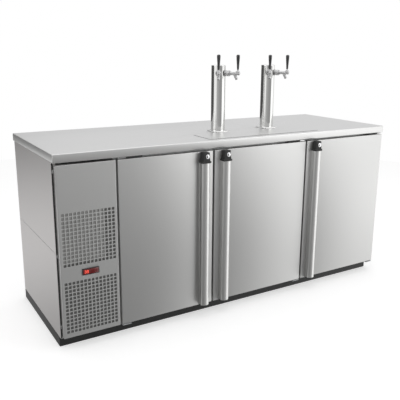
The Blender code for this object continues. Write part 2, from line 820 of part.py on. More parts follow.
def build_hinge_brackets(number, axis_x, inward):
    """Build the plate and pin over a door and the ones under it."""
    rear = BODY_FRONT - SEAT_GAP
    front = DOOR_FRONT
    top_z = DOOR_TOP + HINGE_PLATE_CLEARANCE
    bottom_z = DOOR_BOTTOM - HINGE_PLATE_CLEARANCE
    plates = (
        ("top", TOP_PLATE_LENGTH, top_z, top_z + TOP_PLATE_THICKNESS, -1.0),
        ("bottom", BOTTOM_PLATE_LENGTH, bottom_z - BOTTOM_PLATE_THICKNESS, bottom_z, 1.0),
    )
    for place, length, low, high, side in plates:
        ends = sorted((axis_x - inward * HINGE_END_MARGIN, axis_x + inward * (length - HINGE_END_MARGIN)))
        plate = block(
            f"hinge_{place}_{number}",
            (ends[0], front, low),
            (ends[1], rear, high),
            "galvanised_steel",
        )
        middle = (low + high) / 2
        reach = (high - low) / 2 + HINGE_PIN_LENGTH
        pin = rod(
            f"hinge_{place}_{number}_pin",
            (axis_x, HINGE_AXIS_Y, middle),
            (axis_x, HINGE_AXIS_Y, middle + side * reach),
            HINGE_PIN_RADIUS,
            sides=SMALL_SIDES,
        )
        join(plate, pin)


def build_worktop():
    """Build the worktop slab with its window for the drip tray and its beer line holes."""
    worktop = block(
        "worktop",
        (LEFT, FRONT, WORKTOP_BOTTOM),
        (-LEFT, -FRONT, HEIGHT),
        "satin_steel",
    )
    round_edges(worktop, WORKTOP_EDGE_ROUNDING, segments=3)
    half = tray_basin_half() + Vector((SLIP_FIT, SLIP_FIT, 0.0))
    window = block(
        "tray_window",
        (TRAY_X - half.x, TRAY_Y - half.y, WORKTOP_BOTTOM - OVERRUN),
        (TRAY_X + half.x, TRAY_Y + half.y, HEIGHT + OVERRUN),
    )
    cut(worktop, window)
    for number, x in enumerate(tower_centres(), start=1):
        cut(worktop, line_hole(f"worktop_line_hole_{number}", x))


def tray_basin_half():
    """Give half the outer length and width of the drip tray's basin."""
    return Vector((TRAY_LENGTH / 2 - TRAY_LIP, TRAY_WIDTH / 2 - TRAY_LIP, 0.0))


def build_drip_tray():
    """Build the drip tray with its lip and drain spigot."""
    half = tray_basin_half()
    middle = Vector((TRAY_X, TRAY_Y, 0.0))
    wall = Vector((TRAY_SHEET, TRAY_SHEET, 0.0))
    lip_bottom = HEIGHT + SEAT_GAP
    lip_top = lip_bottom + TRAY_LIP_THICKNESS
    floor_bottom = lip_top - TRAY_DEPTH
    floor_top = floor_bottom + TRAY_SHEET
    outer = Vector((TRAY_LENGTH / 2, TRAY_WIDTH / 2, 0.0))
    tray = block(
        "drip_tray",
        middle - outer + Vector((0.0, 0.0, lip_bottom)),
        middle + outer + Vector((0.0, 0.0, lip_top)),
        "polished_steel",
    )
    basin = block(
        "tray_basin",
        middle - half + Vector((0.0, 0.0, floor_bottom)),
        middle + half + Vector((0.0, 0.0, (lip_bottom + lip_top) / 2)),
    )
    join(tray, basin)
    drain_low = (TRAY_X, TRAY_Y, floor_bottom - DRAIN_LENGTH)
    spigot = rod("tray_spigot", drain_low, (TRAY_X, TRAY_Y, (floor_bottom + floor_top) / 2), DRAIN_RADIUS)
    join(tray, spigot)
    hollow = block(
        "tray_hollow",
        middle - half + wall + Vector((0.0, 0.0, floor_top)),
        middle + half - wall + Vector((0.0, 0.0, lip_top + OVERRUN)),
    )
    cut(tray, hollow)
    bore_low = (TRAY_X, TRAY_Y, floor_bottom - DRAIN_LENGTH - OVERRUN)
    cut(tray, rod("tray_drain", bore_low, (TRAY_X, TRAY_Y, floor_top + OVERRUN), DRAIN_BORE))
    build_grate(floor_top, half - wall)


def build_grate(floor_top, basin_half):
    """Build the lift-off grate: a slotted plate with a leg along each end."""
    top = HEIGHT - GRATE_DROP
    half = basin_half - Vector((GRATE_CLEARANCE, GRATE_CLEARANCE, 0.0))
    middle = Vector((TRAY_X, TRAY_Y, 0.0))
    low = middle - half + Vector((0.0, 0.0, top - GRATE_SHEET))
    high = middle + half + Vector((0.0, 0.0, top))
    grate = block("drip_grate", low, high, "polished_steel")
    cut(grate, slot_pattern(half, top))
    for name, x in (("left", low.x), ("right", high.x - GRATE_SHEET)):
        leg = block(
            f"grate_leg_{name}",
            (x, low.y, floor_top + SEAT_GAP),
            (x + GRATE_SHEET, high.y, top - GRATE_SHEET / 2),
        )
        join(grate, leg)
    hang_on(joint_axis("drip_grate_lift_axis", Vector((TRAY_X, TRAY_Y, top))), [grate])


def slot_pattern(half, top):
    """Make the cutter of the slots, which lean away from the middle of the grate on both sides."""
    shape = bmesh.new()
    reach_x = half.x - SLOT_MARGIN
    reach_y = half.y - SLOT_MARGIN
    size_z = 2 * OVERRUN
    steps = int((reach_x + 2 * reach_y) / SLOT_PITCH)
    for step in range(steps):
        foot = SLOT_MARGIN - 2 * reach_y + step * SLOT_PITCH
        start = max(foot, SLOT_MARGIN)
        end = min(foot + 2 * reach_y, reach_x)
        if end - start < SLOT_SHORTEST:
            continue
        x = (start + end) / 2
        y = x - foot - reach_y
        length = (end - start) * math.sqrt(2)
        for side in (1.0, -1.0):
            place = Vector((side * x, y, 0.0))
            add_box(shape, place, (length, SLOT_WIDTH, size_z), side * math.pi / 4)
    return finish_object("grate_slots", shape, None, (TRAY_X, TRAY_Y, top))


def build_towers():
    """Build both beer towers, each with a left and a right faucet."""
    faucet = 1
    for number, x in enumerate(tower_centres(), start=1):
        foot = HEIGHT + SEAT_GAP
        top = HEIGHT + TOWER_HEIGHT - TOWER_CAP_THICKNESS - SEAT_GAP
        column = rod(
            f"tower_column_{number}",
            (x, TOWER_Y, foot),
            (x, TOWER_Y, top),
            TOWER_RADIUS,
            "polished_steel",
            sides=FINE_SIDES,
        )
        flange = block(
            f"tower_{number}_flange",
            (x - TOWER_FLANGE / 2, TOWER_Y - TOWER_FLANGE / 2, foot),
            (x + TOWER_FLANGE / 2, TOWER_Y + TOWER_FLANGE / 2, foot + TOWER_FLANGE_THICKNESS),
        )
        join(column, round_edges(flange, TOWER_FLANGE_ROUNDING))
        bore = rod(
            f"tower_{number}_bore",
            (x, TOWER_Y, foot - OVERRUN),
            (x, TOWER_Y, top + OVERRUN),
            TOWER_BORE,
            sides=FINE_SIDES,
        )
        cut(column, bore)
        build_tower_cap(number, x, top + SEAT_GAP)
        for side in (-1.0, 1.0):
            build_faucet(faucet, column, x, side * FAUCET_ANGLE)
            faucet += 1


def build_tower_cap(number, x, seat):
    """Build the cap that plugs a tower's top."""
    plug_radius = TOWER_BORE - SEAT_GAP
    shoulder = TOWER_CAP_THICKNESS - TOWER_CAP_ROUNDING
    edge = TOWER_RADIUS - TOWER_CAP_ROUNDING
    profile = [(-TOWER_CAP_PLUG, 0.0), (-TOWER_CAP_PLUG, plug_radius), (0.0, plug_radius)]
    profile += [(0.0, TOWER_RADIUS)]
    for along, out in quarter_arc():
        profile.append((shoulder + TOWER_CAP_ROUNDING * along, edge + TOWER_CAP_ROUNDING * out))
    profile += [(TOWER_CAP_THICKNESS, 0.0)]
    base = (x, TOWER_Y, seat)
    turned(f"tower_cap_{number}", profile, base, UP, "polished_steel", sides=FINE_SIDES)


def quarter_arc(steps=ROUND_ARC_STEPS):
    """Give the points of a unit quarter circle, from its side to its end."""
    angles = [math.pi / 2 * step / steps for step in range(steps + 1)]
    return [(math.sin(angle), math.cos(angle)) for angle in angles]


def build_faucet(number, column, x, angle):
    """Build one faucet with its shank and tap handle, and drill the tower for it."""
    outward = Vector((math.sin(angle), -math.cos(angle), 0.0))
    centre = Vector((x, TOWER_Y, FAUCET_Z))

    def at(reach, rise=0.0):
        """Give the point at a reach outwards from the tower's centre line and a rise."""
        return centre + outward * reach + Vector((0.0, 0.0, rise))

    hole = rod(
        f"shank_hole_{number}",
        at(SHANK_START),
        at(TOWER_RADIUS + OVERRUN),
        SHANK_RADIUS + SHANK_HOLE_CLEARANCE,
    )
    cut(column, hole)
    turned(f"faucet_shank_{number}", shank_profile(), centre, outward, "polished_steel")
    profile = [(BODY_START, 0.0), (BODY_START, BODY_RADIUS)]
    for along, out in quarter_arc():
        profile.append((BODY_END - NOSE_LENGTH * (1.0 - along), BODY_RADIUS * out))
    body = turned(f"faucet_body_{number}", profile, centre, outward, "polished_steel")
    bonnet = rod(
        f"bonnet_{number}",
        at(LEVER_REACH, BONNET_BOTTOM),
        at(LEVER_REACH, BONNET_TOP),
        BONNET_RADIUS,
    )
    join(body, bonnet)
    spout_tip = at(SPOUT_TIP_REACH, -SPOUT_DROP)
    spout_root = at(SPOUT_REACH)
    join(body, rod(f"spout_{number}", spout_root, spout_tip, SPOUT_RADIUS, sides=SMALL_SIDES))
    socket = rod(
        f"lever_socket_{number}",
        at(LEVER_REACH, SOCKET_FLOOR),
        at(LEVER_REACH, BONNET_TOP + OVERRUN),
        SOCKET_RADIUS,
    )
    cut(body, socket)
    bore_start = spout_tip.lerp(spout_root, SPOUT_BORE_SHARE)
    bore_end = spout_tip + (spout_tip - spout_root).normalized() * OVERRUN
    cut(body, rod(f"spout_bore_{number}", bore_start, bore_end, SPOUT_BORE, sides=SMALL_SIDES))
    build_tap_handle(number, at(LEVER_REACH, BALL_RISE))


def shank_profile():
    """Give the profile of the threaded shank with its inner nut, wall collar and coupling nut."""
    inner_start = INNER_NUT_SEAT - INNER_NUT_LENGTH
    return [
        (SHANK_START, 0.0),
        (SHANK_START, SHANK_RADIUS),
        (inner_start, SHANK_RADIUS),
        (inner_start, INNER_NUT_RADIUS),
        (INNER_NUT_SEAT, INNER_NUT_RADIUS),
        (INNER_NUT_SEAT, SHANK_RADIUS),
        (COLLAR_SEAT, SHANK_RADIUS),
        (COLLAR_SEAT, COLLAR_RADIUS),
        (COUPLING_START, COLLAR_RADIUS),
        (COUPLING_START, COUPLING_RADIUS),
        (COUPLING_END, COUPLING_RADIUS),
        (COUPLING_END, 0.0),
    ]


def build_tap_handle(number, ball_centre):
    """Build the knob, stem and ball that turn about the ball's centre."""
    neck = math.asin(STEM_RADIUS / BALL_RADIUS)
    steps = 2 * ROUND_ARC_STEPS
    profile = [(-BALL_RADIUS, 0.0)]
    for step in range(1, steps + 1):
        angle = (math.pi - neck) * step / steps
        profile.append((-BALL_RADIUS * math.cos(angle), BALL_RADIUS * math.sin(angle)))
    profile += [(KNOB_START, STEM_RADIUS), (KNOB_START, KNOB_FOOT_RADIUS)]
    shoulder = KNOB_START + KNOB_LENGTH - KNOB_DOME
    for along, out in quarter_arc():
        profile.append((shoulder + KNOB_DOME * along, KNOB_TOP_RADIUS * out))
    turned(f"tap_handle_{number}", profile, ball_centre, UP, "black_plastic", sides=SMALL_SIDES)


def build_condensing_unit():
    """Build the compressor, the condenser coil, and the fan that draws air through the grille."""
    foot = FLOOR_TOP + SEAT_GAP
    y = FRONT + COMPRESSOR_SETBACK
    plate_top = foot + COMPRESSOR_PLATE_THICKNESS
    plate = block(
        "compressor",
        (BAY_CENTRE - COMPRESSOR_PLATE / 2, y - COMPRESSOR_PLATE / 2, foot),
        (BAY_CENTRE + COMPRESSOR_PLATE / 2, y + COMPRESSOR_PLATE / 2, plate_top),
        "black_paint",
    )
    shell_foot = COMPRESSOR_PLATE_THICKNESS / 2
    shoulder = COMPRESSOR_HEIGHT - COMPRESSOR_DOME
    profile = [(shell_foot, 0.0), (shell_foot, COMPRESSOR_RADIUS)]
    for along, out in quarter_arc():
        profile.append((shoulder + COMPRESSOR_DOME * along, COMPRESSOR_RADIUS * out))
    join(plate, turned("compressor_shell", profile, (BAY_CENTRE, y, foot), UP))

    coil_front = FRONT + CONDENSER_SETBACK
    coil_rear = coil_front + CONDENSER_DEPTH
    coil_top = foot + CONDENSER_HEIGHT
    half = CONDENSER_WIDTH / 2
    core = half - CONDENSER_END_PLATE / 2
    coil = block(
        "condenser_coil",
        (BAY_CENTRE - core, coil_front + CONDENSER_END_MARGIN, foot + CONDENSER_END_MARGIN),
        (BAY_CENTRE + core, coil_rear - CONDENSER_END_MARGIN, coil_top - CONDENSER_END_MARGIN),
        "copper_and_fins",
    )
    for name, x in (("left", BAY_CENTRE - half), ("right", BAY_CENTRE + half - CONDENSER_END_PLATE)):
        end_plate = block(
            f"condenser_{name}_plate",
            (x, coil_front, foot),
            (x + CONDENSER_END_PLATE, coil_rear, coil_top),
        )
        join(coil, end_plate)
    build_condenser_fan(coil_rear + SEAT_GAP, foot, coil_top)


def build_condenser_fan(seat, bottom, top):
    """Build the fan frame with its motor behind the coil, and the fan in its ring."""
    hub_z = (bottom + top) / 2
    half = CONDENSER_WIDTH / 2
    ring_inside = CONDENSER_FAN_RADIUS + FAN_TIP_CLEARANCE
    ring_end = seat + FAN_RING_DEPTH
    frame = block(
        "condenser_fan_frame",
        (BAY_CENTRE - half, seat, bottom),
        (BAY_CENTRE + half, seat + FAN_FRAME_THICKNESS, top),
        "galvanised_steel",
    )
    ring = rod(
        "fan_ring",
        (BAY_CENTRE, seat + FAN_FRAME_THICKNESS / 2, hub_z),
        (BAY_CENTRE, ring_end, hub_z),
        ring_inside + FAN_RING_WALL,
        sides=FINE_SIDES,
    )
    join(frame, ring)
    opening = rod(
        "fan_opening",
        (BAY_CENTRE, seat - OVERRUN, hub_z),
        (BAY_CENTRE, ring_end + OVERRUN, hub_z),
        ring_inside,
        sides=FINE_SIDES,
    )
    cut(frame, opening)
    arm_start = ring_end - MOTOR_ARM_SETBACK - MOTOR_ARM_THICKNESS
    for number in range(MOTOR_ARMS):
        join(frame, motor_arm(number, arm_start, hub_z, ring_inside))
    face = arm_start - MOTOR_FACE_LEAD
    motor_end = face + MOTOR_LENGTH
    motor = rod("fan_motor", (BAY_CENTRE, face, hub_z), (BAY_CENTRE, motor_end, hub_z), MOTOR_RADIUS)
    join(frame, motor)
    shaft_tip = (BAY_CENTRE, face - SHAFT_LENGTH, hub_z)
    shaft_root = (BAY_CENTRE, face + SHAFT_LENGTH, hub_z)
    join(frame, rod("fan_shaft", shaft_tip, shaft_root, SHAFT_RADIUS, sides=SMALL_SIDES))
    hub_end = Vector((BAY_CENTRE, face - SEAT_GAP, hub_z))
    build_fan("condenser_fan", hub_end, Vector((0.0, -1.0, 0.0)), CONDENSER_FAN_RADIUS)


def motor_arm(number, arm_start, hub_z, reach):
    """Make one arm between the fan motor and its ring."""
    angle = math.pi / 2 + math.tau * number / MOTOR_ARMS
    along = Vector((math.cos(angle), 0.0, math.sin(angle)))
    start = MOTOR_RADIUS / 2
    end = reach + FAN_RING_WALL / 2
    length = end - start
    shape = bmesh.new()
    bmesh.ops.create_cube(shape, size=1.0)
    bmesh.ops.scale(shape, vec=(length, MOTOR_ARM_THICKNESS, MOTOR_ARM_WIDTH), verts=shape.verts)
    turn = Matrix.Rotation(-angle, 3, "Y")
    bmesh.ops.rotate(shape, cent=(0.0, 0.0, 0.0), matrix=turn, verts=shape.verts)
    hub = Vector((BAY_CENTRE, arm_start + MOTOR_ARM_THICKNESS / 2, hub_z))
    return finish_object(f"motor_arm_{number}", shape, None, hub + along * (start + end) / 2)


def fan_blade(name, number, middle, forward, radius):
    """Make one pitched blade, narrower at the hub than at its tip."""
    root = FAN_HUB_RADIUS - BLADE_ROOT_DEPTH
    tip = math.sqrt(radius**2 - (BLADE_CHORD / 2) ** 2)
    shape = bmesh.new()
    bmesh.ops.create_cube(shape, size=1.0)
    bmesh.ops.scale(shape, vec=(BLADE_THICKNESS, BLADE_CHORD, tip - root), verts=shape.verts)
    lower = [vert for vert in shape.verts if vert.co.z < 0]
    bmesh.ops.scale(shape, vec=(1.0, BLADE_ROOT_SHARE, 1.0), verts=lower)
    pitch = Matrix.Rotation(BLADE_PITCH, 3, "Z")
    bmesh.ops.rotate(shape, cent=(0.0, 0.0, 0.0), matrix=pitch, verts=shape.verts)
    bmesh.ops.translate(shape, vec=(0.0, 0.0, (root + tip) / 2), verts=shape.verts)
    face = Vector((1.0, 0.0, 0.0)).rotation_difference(forward).to_matrix()
    spin = Matrix.Rotation(math.tau * number / FAN_BLADES, 3, forward)
    bmesh.ops.rotate(shape, cent=(0.0, 0.0, 0.0), matrix=spin @ face, verts=shape.verts)
    return finish_object(name, shape, None, middle)


def build_fan(name, hub_end, forward, radius):
    """Build a fan whose hub starts at a point and reaches forward, with pitched blades."""
    hub_front = hub_end + forward * FAN_HUB_LENGTH
    fan = rod(name, hub_end, hub_front, FAN_HUB_RADIUS, "black_plastic")
    middle = (hub_end + hub_front) / 2
    for number in range(FAN_BLADES):
        join(fan, fan_blade(f"{name}_blade_{number}", number, middle, forward, radius))
    bore_end = hub_end + forward * (SHAFT_LENGTH + SHAFT_CLEARANCE)
    bore_radius = SHAFT_RADIUS + SHAFT_CLEARANCE
    cut(fan, rod(f"{name}_bore", hub_end - forward * OVERRUN, bore_end, bore_radius, sides=SMALL_SIDES))
    hang_on(joint_axis(f"{name}_axis", middle), [fan])


def build_evaporator():
    """Build the evaporator housing on the partition and the fan in its round pocket."""
    left = PARTITION_RIGHT + SEAT_GAP
    right = left + EVAPORATOR_THICKNESS
    top = CEILING_BOTTOM - EVAPORATOR_TOP_GAP
    rear = REAR_WALL_FRONT - (REAR_WALL_FRONT - BODY_FRONT - EVAPORATOR_LENGTH) / 2
    front = rear - EVAPORATOR_LENGTH
    y = (front + rear) / 2
    z = top - EVAPORATOR_HEIGHT / 2
    housing = block(
        "evaporator_housing",
        (left, front, top - EVAPORATOR_HEIGHT),
        (right, rear, top),
        "white_liner",
    )
    round_edges(housing, EVAPORATOR_ROUNDING)
    pocket_floor = right - EVAPORATOR_POCKET_DEPTH
    pocket = rod(
        "evaporator_pocket",
        (pocket_floor, y, z),
        (right + OVERRUN, y, z),
        EVAPORATOR_FAN_RADIUS + FAN_TIP_CLEARANCE,
        sides=FINE_SIDES,
    )
    cut(housing, pocket)
    motor_end = pocket_floor + EVAPORATOR_MOTOR_LENGTH
    motor = rod("evaporator_motor", (pocket_floor - SHEET, y, z), (motor_end, y, z), MOTOR_RADIUS)
    join(housing, motor)
    shaft = rod(
        "evaporator_shaft",
        (motor_end - SHEET, y, z),
        (motor_end + SHAFT_LENGTH, y, z),
        SHAFT_RADIUS,
        sides=SMALL_SIDES,
    )
    join(housing, shaft)
    hub_end = Vector((motor_end + SEAT_GAP, y, z))
    build_fan("evaporator_fan", hub_end, Vector((1.0, 0.0, 0.0)), EVAPORATOR_FAN_RADIUS)


def main():
    """Clear the scene and build the cooler from the floor up."""
    for old in list(bpy.data.objects):
        bpy.data.objects.remove(old, do_unlink=True)
    new_collection("beer_cooler")
    new_collection("helpers")
    make_materials()
    build_base_and_walls()
    build_side_panels()
    build_bay_rear_panel()
    build_front_panel()
    build_doors()
    build_worktop()
    build_drip_tray()
    build_towers()
    build_condensing_unit()
    build_evaporator()


main()
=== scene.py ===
"""Looks of a draft beer cooler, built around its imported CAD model.

Lengths are in metres. The cooler stands on z = 0, its doors face -Y and its
machine bay is at -X. Each sub-assembly is a class that builds its own pieces.
"""

from __future__ import annotations

import logging
import math
from dataclasses import dataclass, field
from enum import Enum
from typing import Any, Callable, Iterable, Sequence

import bmesh
import bpy
from mathutils import Matrix, Vector

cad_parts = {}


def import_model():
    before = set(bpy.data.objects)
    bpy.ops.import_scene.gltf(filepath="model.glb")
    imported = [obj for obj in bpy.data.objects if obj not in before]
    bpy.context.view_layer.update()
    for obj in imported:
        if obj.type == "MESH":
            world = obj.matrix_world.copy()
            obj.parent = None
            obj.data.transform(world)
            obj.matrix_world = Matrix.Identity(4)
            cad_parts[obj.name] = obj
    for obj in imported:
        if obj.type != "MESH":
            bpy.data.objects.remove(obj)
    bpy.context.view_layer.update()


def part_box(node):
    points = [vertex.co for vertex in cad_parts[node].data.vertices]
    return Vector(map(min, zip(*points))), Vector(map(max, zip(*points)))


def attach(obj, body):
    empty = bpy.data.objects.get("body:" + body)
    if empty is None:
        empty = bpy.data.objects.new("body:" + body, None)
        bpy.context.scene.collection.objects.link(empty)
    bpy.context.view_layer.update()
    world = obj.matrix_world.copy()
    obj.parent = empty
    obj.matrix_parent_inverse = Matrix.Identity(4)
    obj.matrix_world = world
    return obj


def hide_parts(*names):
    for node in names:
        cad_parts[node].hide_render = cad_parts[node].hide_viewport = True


Pair = tuple[float, float]
Triple = tuple[float, float, float]
Stops = tuple[Pair, ...]
Edge = bmesh.types.BMEdge
Face = bmesh.types.BMFace
Vert = bmesh.types.BMVert
Rule = Callable[[Face], int]
Socket = bpy.types.NodeSocket

LOG = logging.getLogger("cooler")
FIXED = "cabinet"
X, Y, Z = 0, 1, 2
UP = Vector((0.0, 0.0, 1.0))
REARWARD = Vector((0.0, 1.0, 0.0))
WHITE = (1.0, 1.0, 1.0, 1.0)
MERGE = 0.00001
SKIM = 0.0001
PARALLEL = 0.99
FACING = 0.5
SHARP = math.radians(35)
FLAT = math.radians(1)
BUMP_REACH = 0.0004
LIMITS = ("From Min", "From Max", "To Min", "To Max")
MIX_INPUTS = (0, 6, 7)
MIX_RESULT = 2


class Fall(Enum):
    """How a remapped range runs."""

    SMOOTH = "SMOOTHSTEP"
    STRAIGHT = "LINEAR"


class Affects(Enum):
    """What a rounding works on."""

    EDGES = "EDGES"
    CORNERS = "VERTICES"


class Wiring:
    """Adds and links nodes in one shader tree."""

    def __init__(self, tree: bpy.types.NodeTree) -> None:
        """Take the tree to wire."""
        self.tree = tree

    def add(self, kind: str, feeds: dict[Any, Any] | None = None, **settings: Any) -> Any:
        """Add a node.

        Args:
            kind: The node's type name.
            feeds: Values or sockets, by the input's name or number.
            **settings: Properties of the node.

        Returns:
            The new node.
        """
        node = self.tree.nodes.new(kind)
        for key, value in settings.items():
            setattr(node, key, value)
        for key, value in (feeds or {}).items():
            self.feed(node.inputs[key], value)
        return node

    def feed(self, socket: Socket, value: Any) -> None:
        """Give an input a value, or a link from another socket.

        Args:
            socket: The input.
            value: A number, a colour or an output socket.
        """
        if isinstance(value, Socket):
            self.tree.links.new(value, socket)
        else:
            socket.default_value = value

    def math(self, operation: str, first: Any, second: Any = 0.0) -> Socket:
        """Combine two numbers by a Math node's operation."""
        return self.add("ShaderNodeMath", {0: first, 1: second}, operation=operation).outputs[0]

    def vary(self, base: Any, value: Any, middle: float, amount: Any) -> Socket:
        """Add to a base how far a value is from its middle, times an amount."""
        shift = self.math("MULTIPLY", self.math("SUBTRACT", value, middle), amount)
        return self.math("ADD", base, shift)

    def scale(self, vector: Any, factor: Any) -> Socket:
        """Multiply a vector or colour by a number."""
        feeds = {0: vector, "Scale": factor}
        return self.add("ShaderNodeVectorMath", feeds, operation="SCALE").outputs[0]

    def noise(self, vector: Any, scale: Any, detail: float = 2.0) -> Socket:
        """Add a noise of so many cells per unit, with octaves of detail."""
        feeds = {"Vector": vector, "Scale": scale, "Detail": detail}
        return self.add("ShaderNodeTexNoise", feeds).outputs["Fac"]

    def remap(
        self, value: Any, span: Pair, to: Pair = (0.0, 1.0), fall: Fall = Fall.SMOOTH
    ) -> Socket:
        """Map one range of numbers to another.

        Args:
            value: The number or socket.
            span: The range that it comes from.
            to: The range that it goes to.
            fall: How the range runs.

        Returns:
            The result's socket.
        """
        feeds = {"Value": value, **dict(zip(LIMITS, span + to))}
        node = self.add("ShaderNodeMapRange", feeds, interpolation_type=fall.value)
        return node.outputs["Result"]

    def mix(self, share: Any, first: Any, second: Any) -> Socket:
        """Mix two colours, by the share of the second."""
        feeds = dict(zip(MIX_INPUTS, (share, first, second)))
        return self.add("ShaderNodeMix", feeds, data_type="RGBA").outputs[MIX_RESULT]

    def effect(self, name: str, **feeds: Any) -> dict[str, Socket]:
        """Place one of the shared groups, and give its outputs by their names."""
        node = self.add("ShaderNodeGroup", feeds, node_tree=Effects.group(name))
        return {socket.name: socket for socket in node.outputs}


class Effects:
    """The shared node groups, each made once.

    An output bears the name of the shader's input that it feeds, or is the bump's Height.
    """

    KINDS = dict.fromkeys(("Colour", "Bare", "Base Color"), "NodeSocketColor")
    KINDS["Vector"] = "NodeSocketVector"

    @classmethod
    def group(cls, name: str) -> bpy.types.NodeTree:
        """Give a group by its name, and make it on its first use."""
        return bpy.data.node_groups.get(name) or getattr(cls, f"_{name}")()

    @classmethod
    def _start(cls, name: str, takes: Iterable[str], gives: Iterable[str]) -> tuple[Wiring, Any]:
        """Start a group.

        Args:
            name: The group's name.
            takes: The input names.
            gives: The output names.

        Returns:
            The group's wiring, and its inputs as sockets.
        """
        tree = bpy.data.node_groups.new(name, "ShaderNodeTree")
        for way, labels in (("INPUT", takes), ("OUTPUT", gives)):
            for label in labels:
                kind = cls.KINDS.get(label, "NodeSocketFloat")
                tree.interface.new_socket(label, in_out=way, socket_type=kind)
        wiring = Wiring(tree)
        return wiring, wiring.add("NodeGroupInput").outputs

    @classmethod
    def _brushed(cls) -> bpy.types.NodeTree:
        """Make fine and broad streaks along the coordinates' short way.

        Returns:
            The group.
        """
        takes = ("Vector", "Colour", "Contrast", "Roughness", "Spread")
        wiring, given = cls._start("brushed", takes, ("Base Color", "Roughness", "Height"))
        fine = wiring.noise(given["Vector"], 1.0, 3.0)
        broad = wiring.noise(given["Vector"], 0.13)
        both = wiring.math("ADD", fine, wiring.math("MULTIPLY", broad, 1.4))
        tone = wiring.vary(1.0, both, 1.2, given["Contrast"])
        rough = wiring.vary(given["Roughness"], broad, 0.5, given["Spread"])
        colour = wiring.scale(given["Colour"], tone)
        wiring.add("NodeGroupOutput", {"Base Color": colour, "Roughness": rough, "Height": fine})
        return wiring.tree

    @classmethod
    def _handled(cls) -> bpy.types.NodeTree:
        """Make the faint clouds that wiping and hands leave on a smooth surface.

        Returns:
            The group.
        """
        wiring, given = cls._start("handled", ("Vector", "Roughness", "Amount"), ["Roughness"])
        clouds = wiring.noise(given["Vector"], 7.0, 3.0)
        prints = wiring.remap(wiring.noise(given["Vector"], 45.0, 1.0), (0.55, 0.75), (0.0, 0.5))
        both = wiring.math("ADD", clouds, prints)
        rough = wiring.vary(given["Roughness"], both, 0.5, given["Amount"])
        wiring.add("NodeGroupOutput", {"Roughness": rough})
        return wiring.tree

    @classmethod
    def _spangled(cls) -> bpy.types.NodeTree:
        """Make the crystal pattern of galvanised sheet.

        Returns:
            The group.
        """
        takes = ("Vector", "Colour", "Contrast", "Roughness")
        wiring, given = cls._start("spangled", takes, ("Base Color", "Roughness"))
        cells = wiring.add("ShaderNodeTexVoronoi", {"Vector": given["Vector"], "Scale": 130.0})
        shade = wiring.add("ShaderNodeSeparateColor", {0: cells.outputs["Color"]}).outputs[0]
        colour = wiring.scale(given["Colour"], wiring.vary(1.0, shade, 0.5, given["Contrast"]))
        rough = wiring.vary(given["Roughness"], shade, 0.5, 0.15)
        wiring.add("NodeGroupOutput", {"Base Color": colour, "Roughness": rough})
        return wiring.tree

    @classmethod
    def _moulded(cls) -> bpy.types.NodeTree:
        """Make the even grain of moulded plastic, rubber or paint.

        Returns:
            The group.
        """
        takes = ("Vector", "Scale", "Roughness", "Spread")
        wiring, given = cls._start("moulded", takes, ("Roughness", "Height"))
        grain = wiring.noise(given["Vector"], given["Scale"])
        rough = wiring.vary(given["Roughness"], grain, 0.5, given["Spread"])
        wiring.add("NodeGroupOutput", {"Roughness": rough, "Height": grain})
        return wiring.tree

    @classmethod
    def _worn(cls) -> bpy.types.NodeTree:
        """Make scattered scuffs, denser near the floor.

        Returns:
            The group.
        """
        wiring, given = cls._start("worn", ("Vector", "Colour", "Bare", "Amount"), ["Base Color"])
        spots = wiring.remap(wiring.noise(given["Vector"], 60.0, 6.0), (0.56, 0.68))
        height = wiring.add("ShaderNodeSeparateXYZ", {0: given["Vector"]}).outputs["Z"]
        low = wiring.remap(height, (0.0, 0.12), (1.0, 0.15))
        share = wiring.math("MULTIPLY", wiring.math("MULTIPLY", spots, low), given["Amount"])
        colour = wiring.mix(share, given["Colour"], given["Bare"])
        wiring.add("NodeGroupOutput", {"Base Color": colour})
        return wiring.tree


class Grain(Enum):
    """How a brushed pattern lies: cells per metre along X, Y and Z."""

    ALONG_X = (4.0, 700.0, 700.0)
    ALONG_Y = (700.0, 4.0, 700.0)
    ALONG_Z = (700.0, 700.0, 4.0)
    DRAWN = (500.0, 500.0, 1.5)


@dataclass(frozen=True)
class Finish:
    """A plain surface. Its kinds below add their own patterns."""

    name: str
    slot: str
    colour: Triple
    roughness: float
    metallic: float = 0.0
    coat: float = 0.0
    bump: float = 0.0
    wiped: float = 0.06

    @property
    def rgba(self) -> tuple[float, ...]:
        """Give the colour with its alpha."""
        return (*self.colour, 1.0)

    def material(self) -> bpy.types.Material:
        """Give this finish's material, and make it on its first use.

        Returns:
            The material.
        """
        found = bpy.data.materials.get(self.name)
        if found:
            return found
        made = bpy.data.materials.new(self.name)
        made.use_nodes = True
        made.diffuse_color = self.rgba
        wiring = Wiring(made.node_tree)
        place = wiring.add("ShaderNodeTexCoord").outputs["Object"]
        given = {"Base Color": self.rgba, "Metallic": self.metallic}
        given |= {"Roughness": self.roughness, "Coat Weight": self.coat}
        given |= self.pattern(wiring, place)
        if self.wiped:
            rough = given["Roughness"]
            given |= wiring.effect("handled", Vector=place, Roughness=rough, Amount=self.wiped)
        if "Height" in given:
            raised = {"Strength": self.bump, "Distance": BUMP_REACH, "Height": given.pop("Height")}
            given["Normal"] = wiring.add("ShaderNodeBump", raised).outputs["Normal"]
        for key, value in given.items():
            wiring.feed(made.node_tree.nodes["Principled BSDF"].inputs[key], value)
        return made

    def pattern(self, wiring: Wiring, place: Socket) -> dict[str, Any]:
        """Give what feeds the shader's inputs, and the Height of its bump: here nothing."""
        return {}


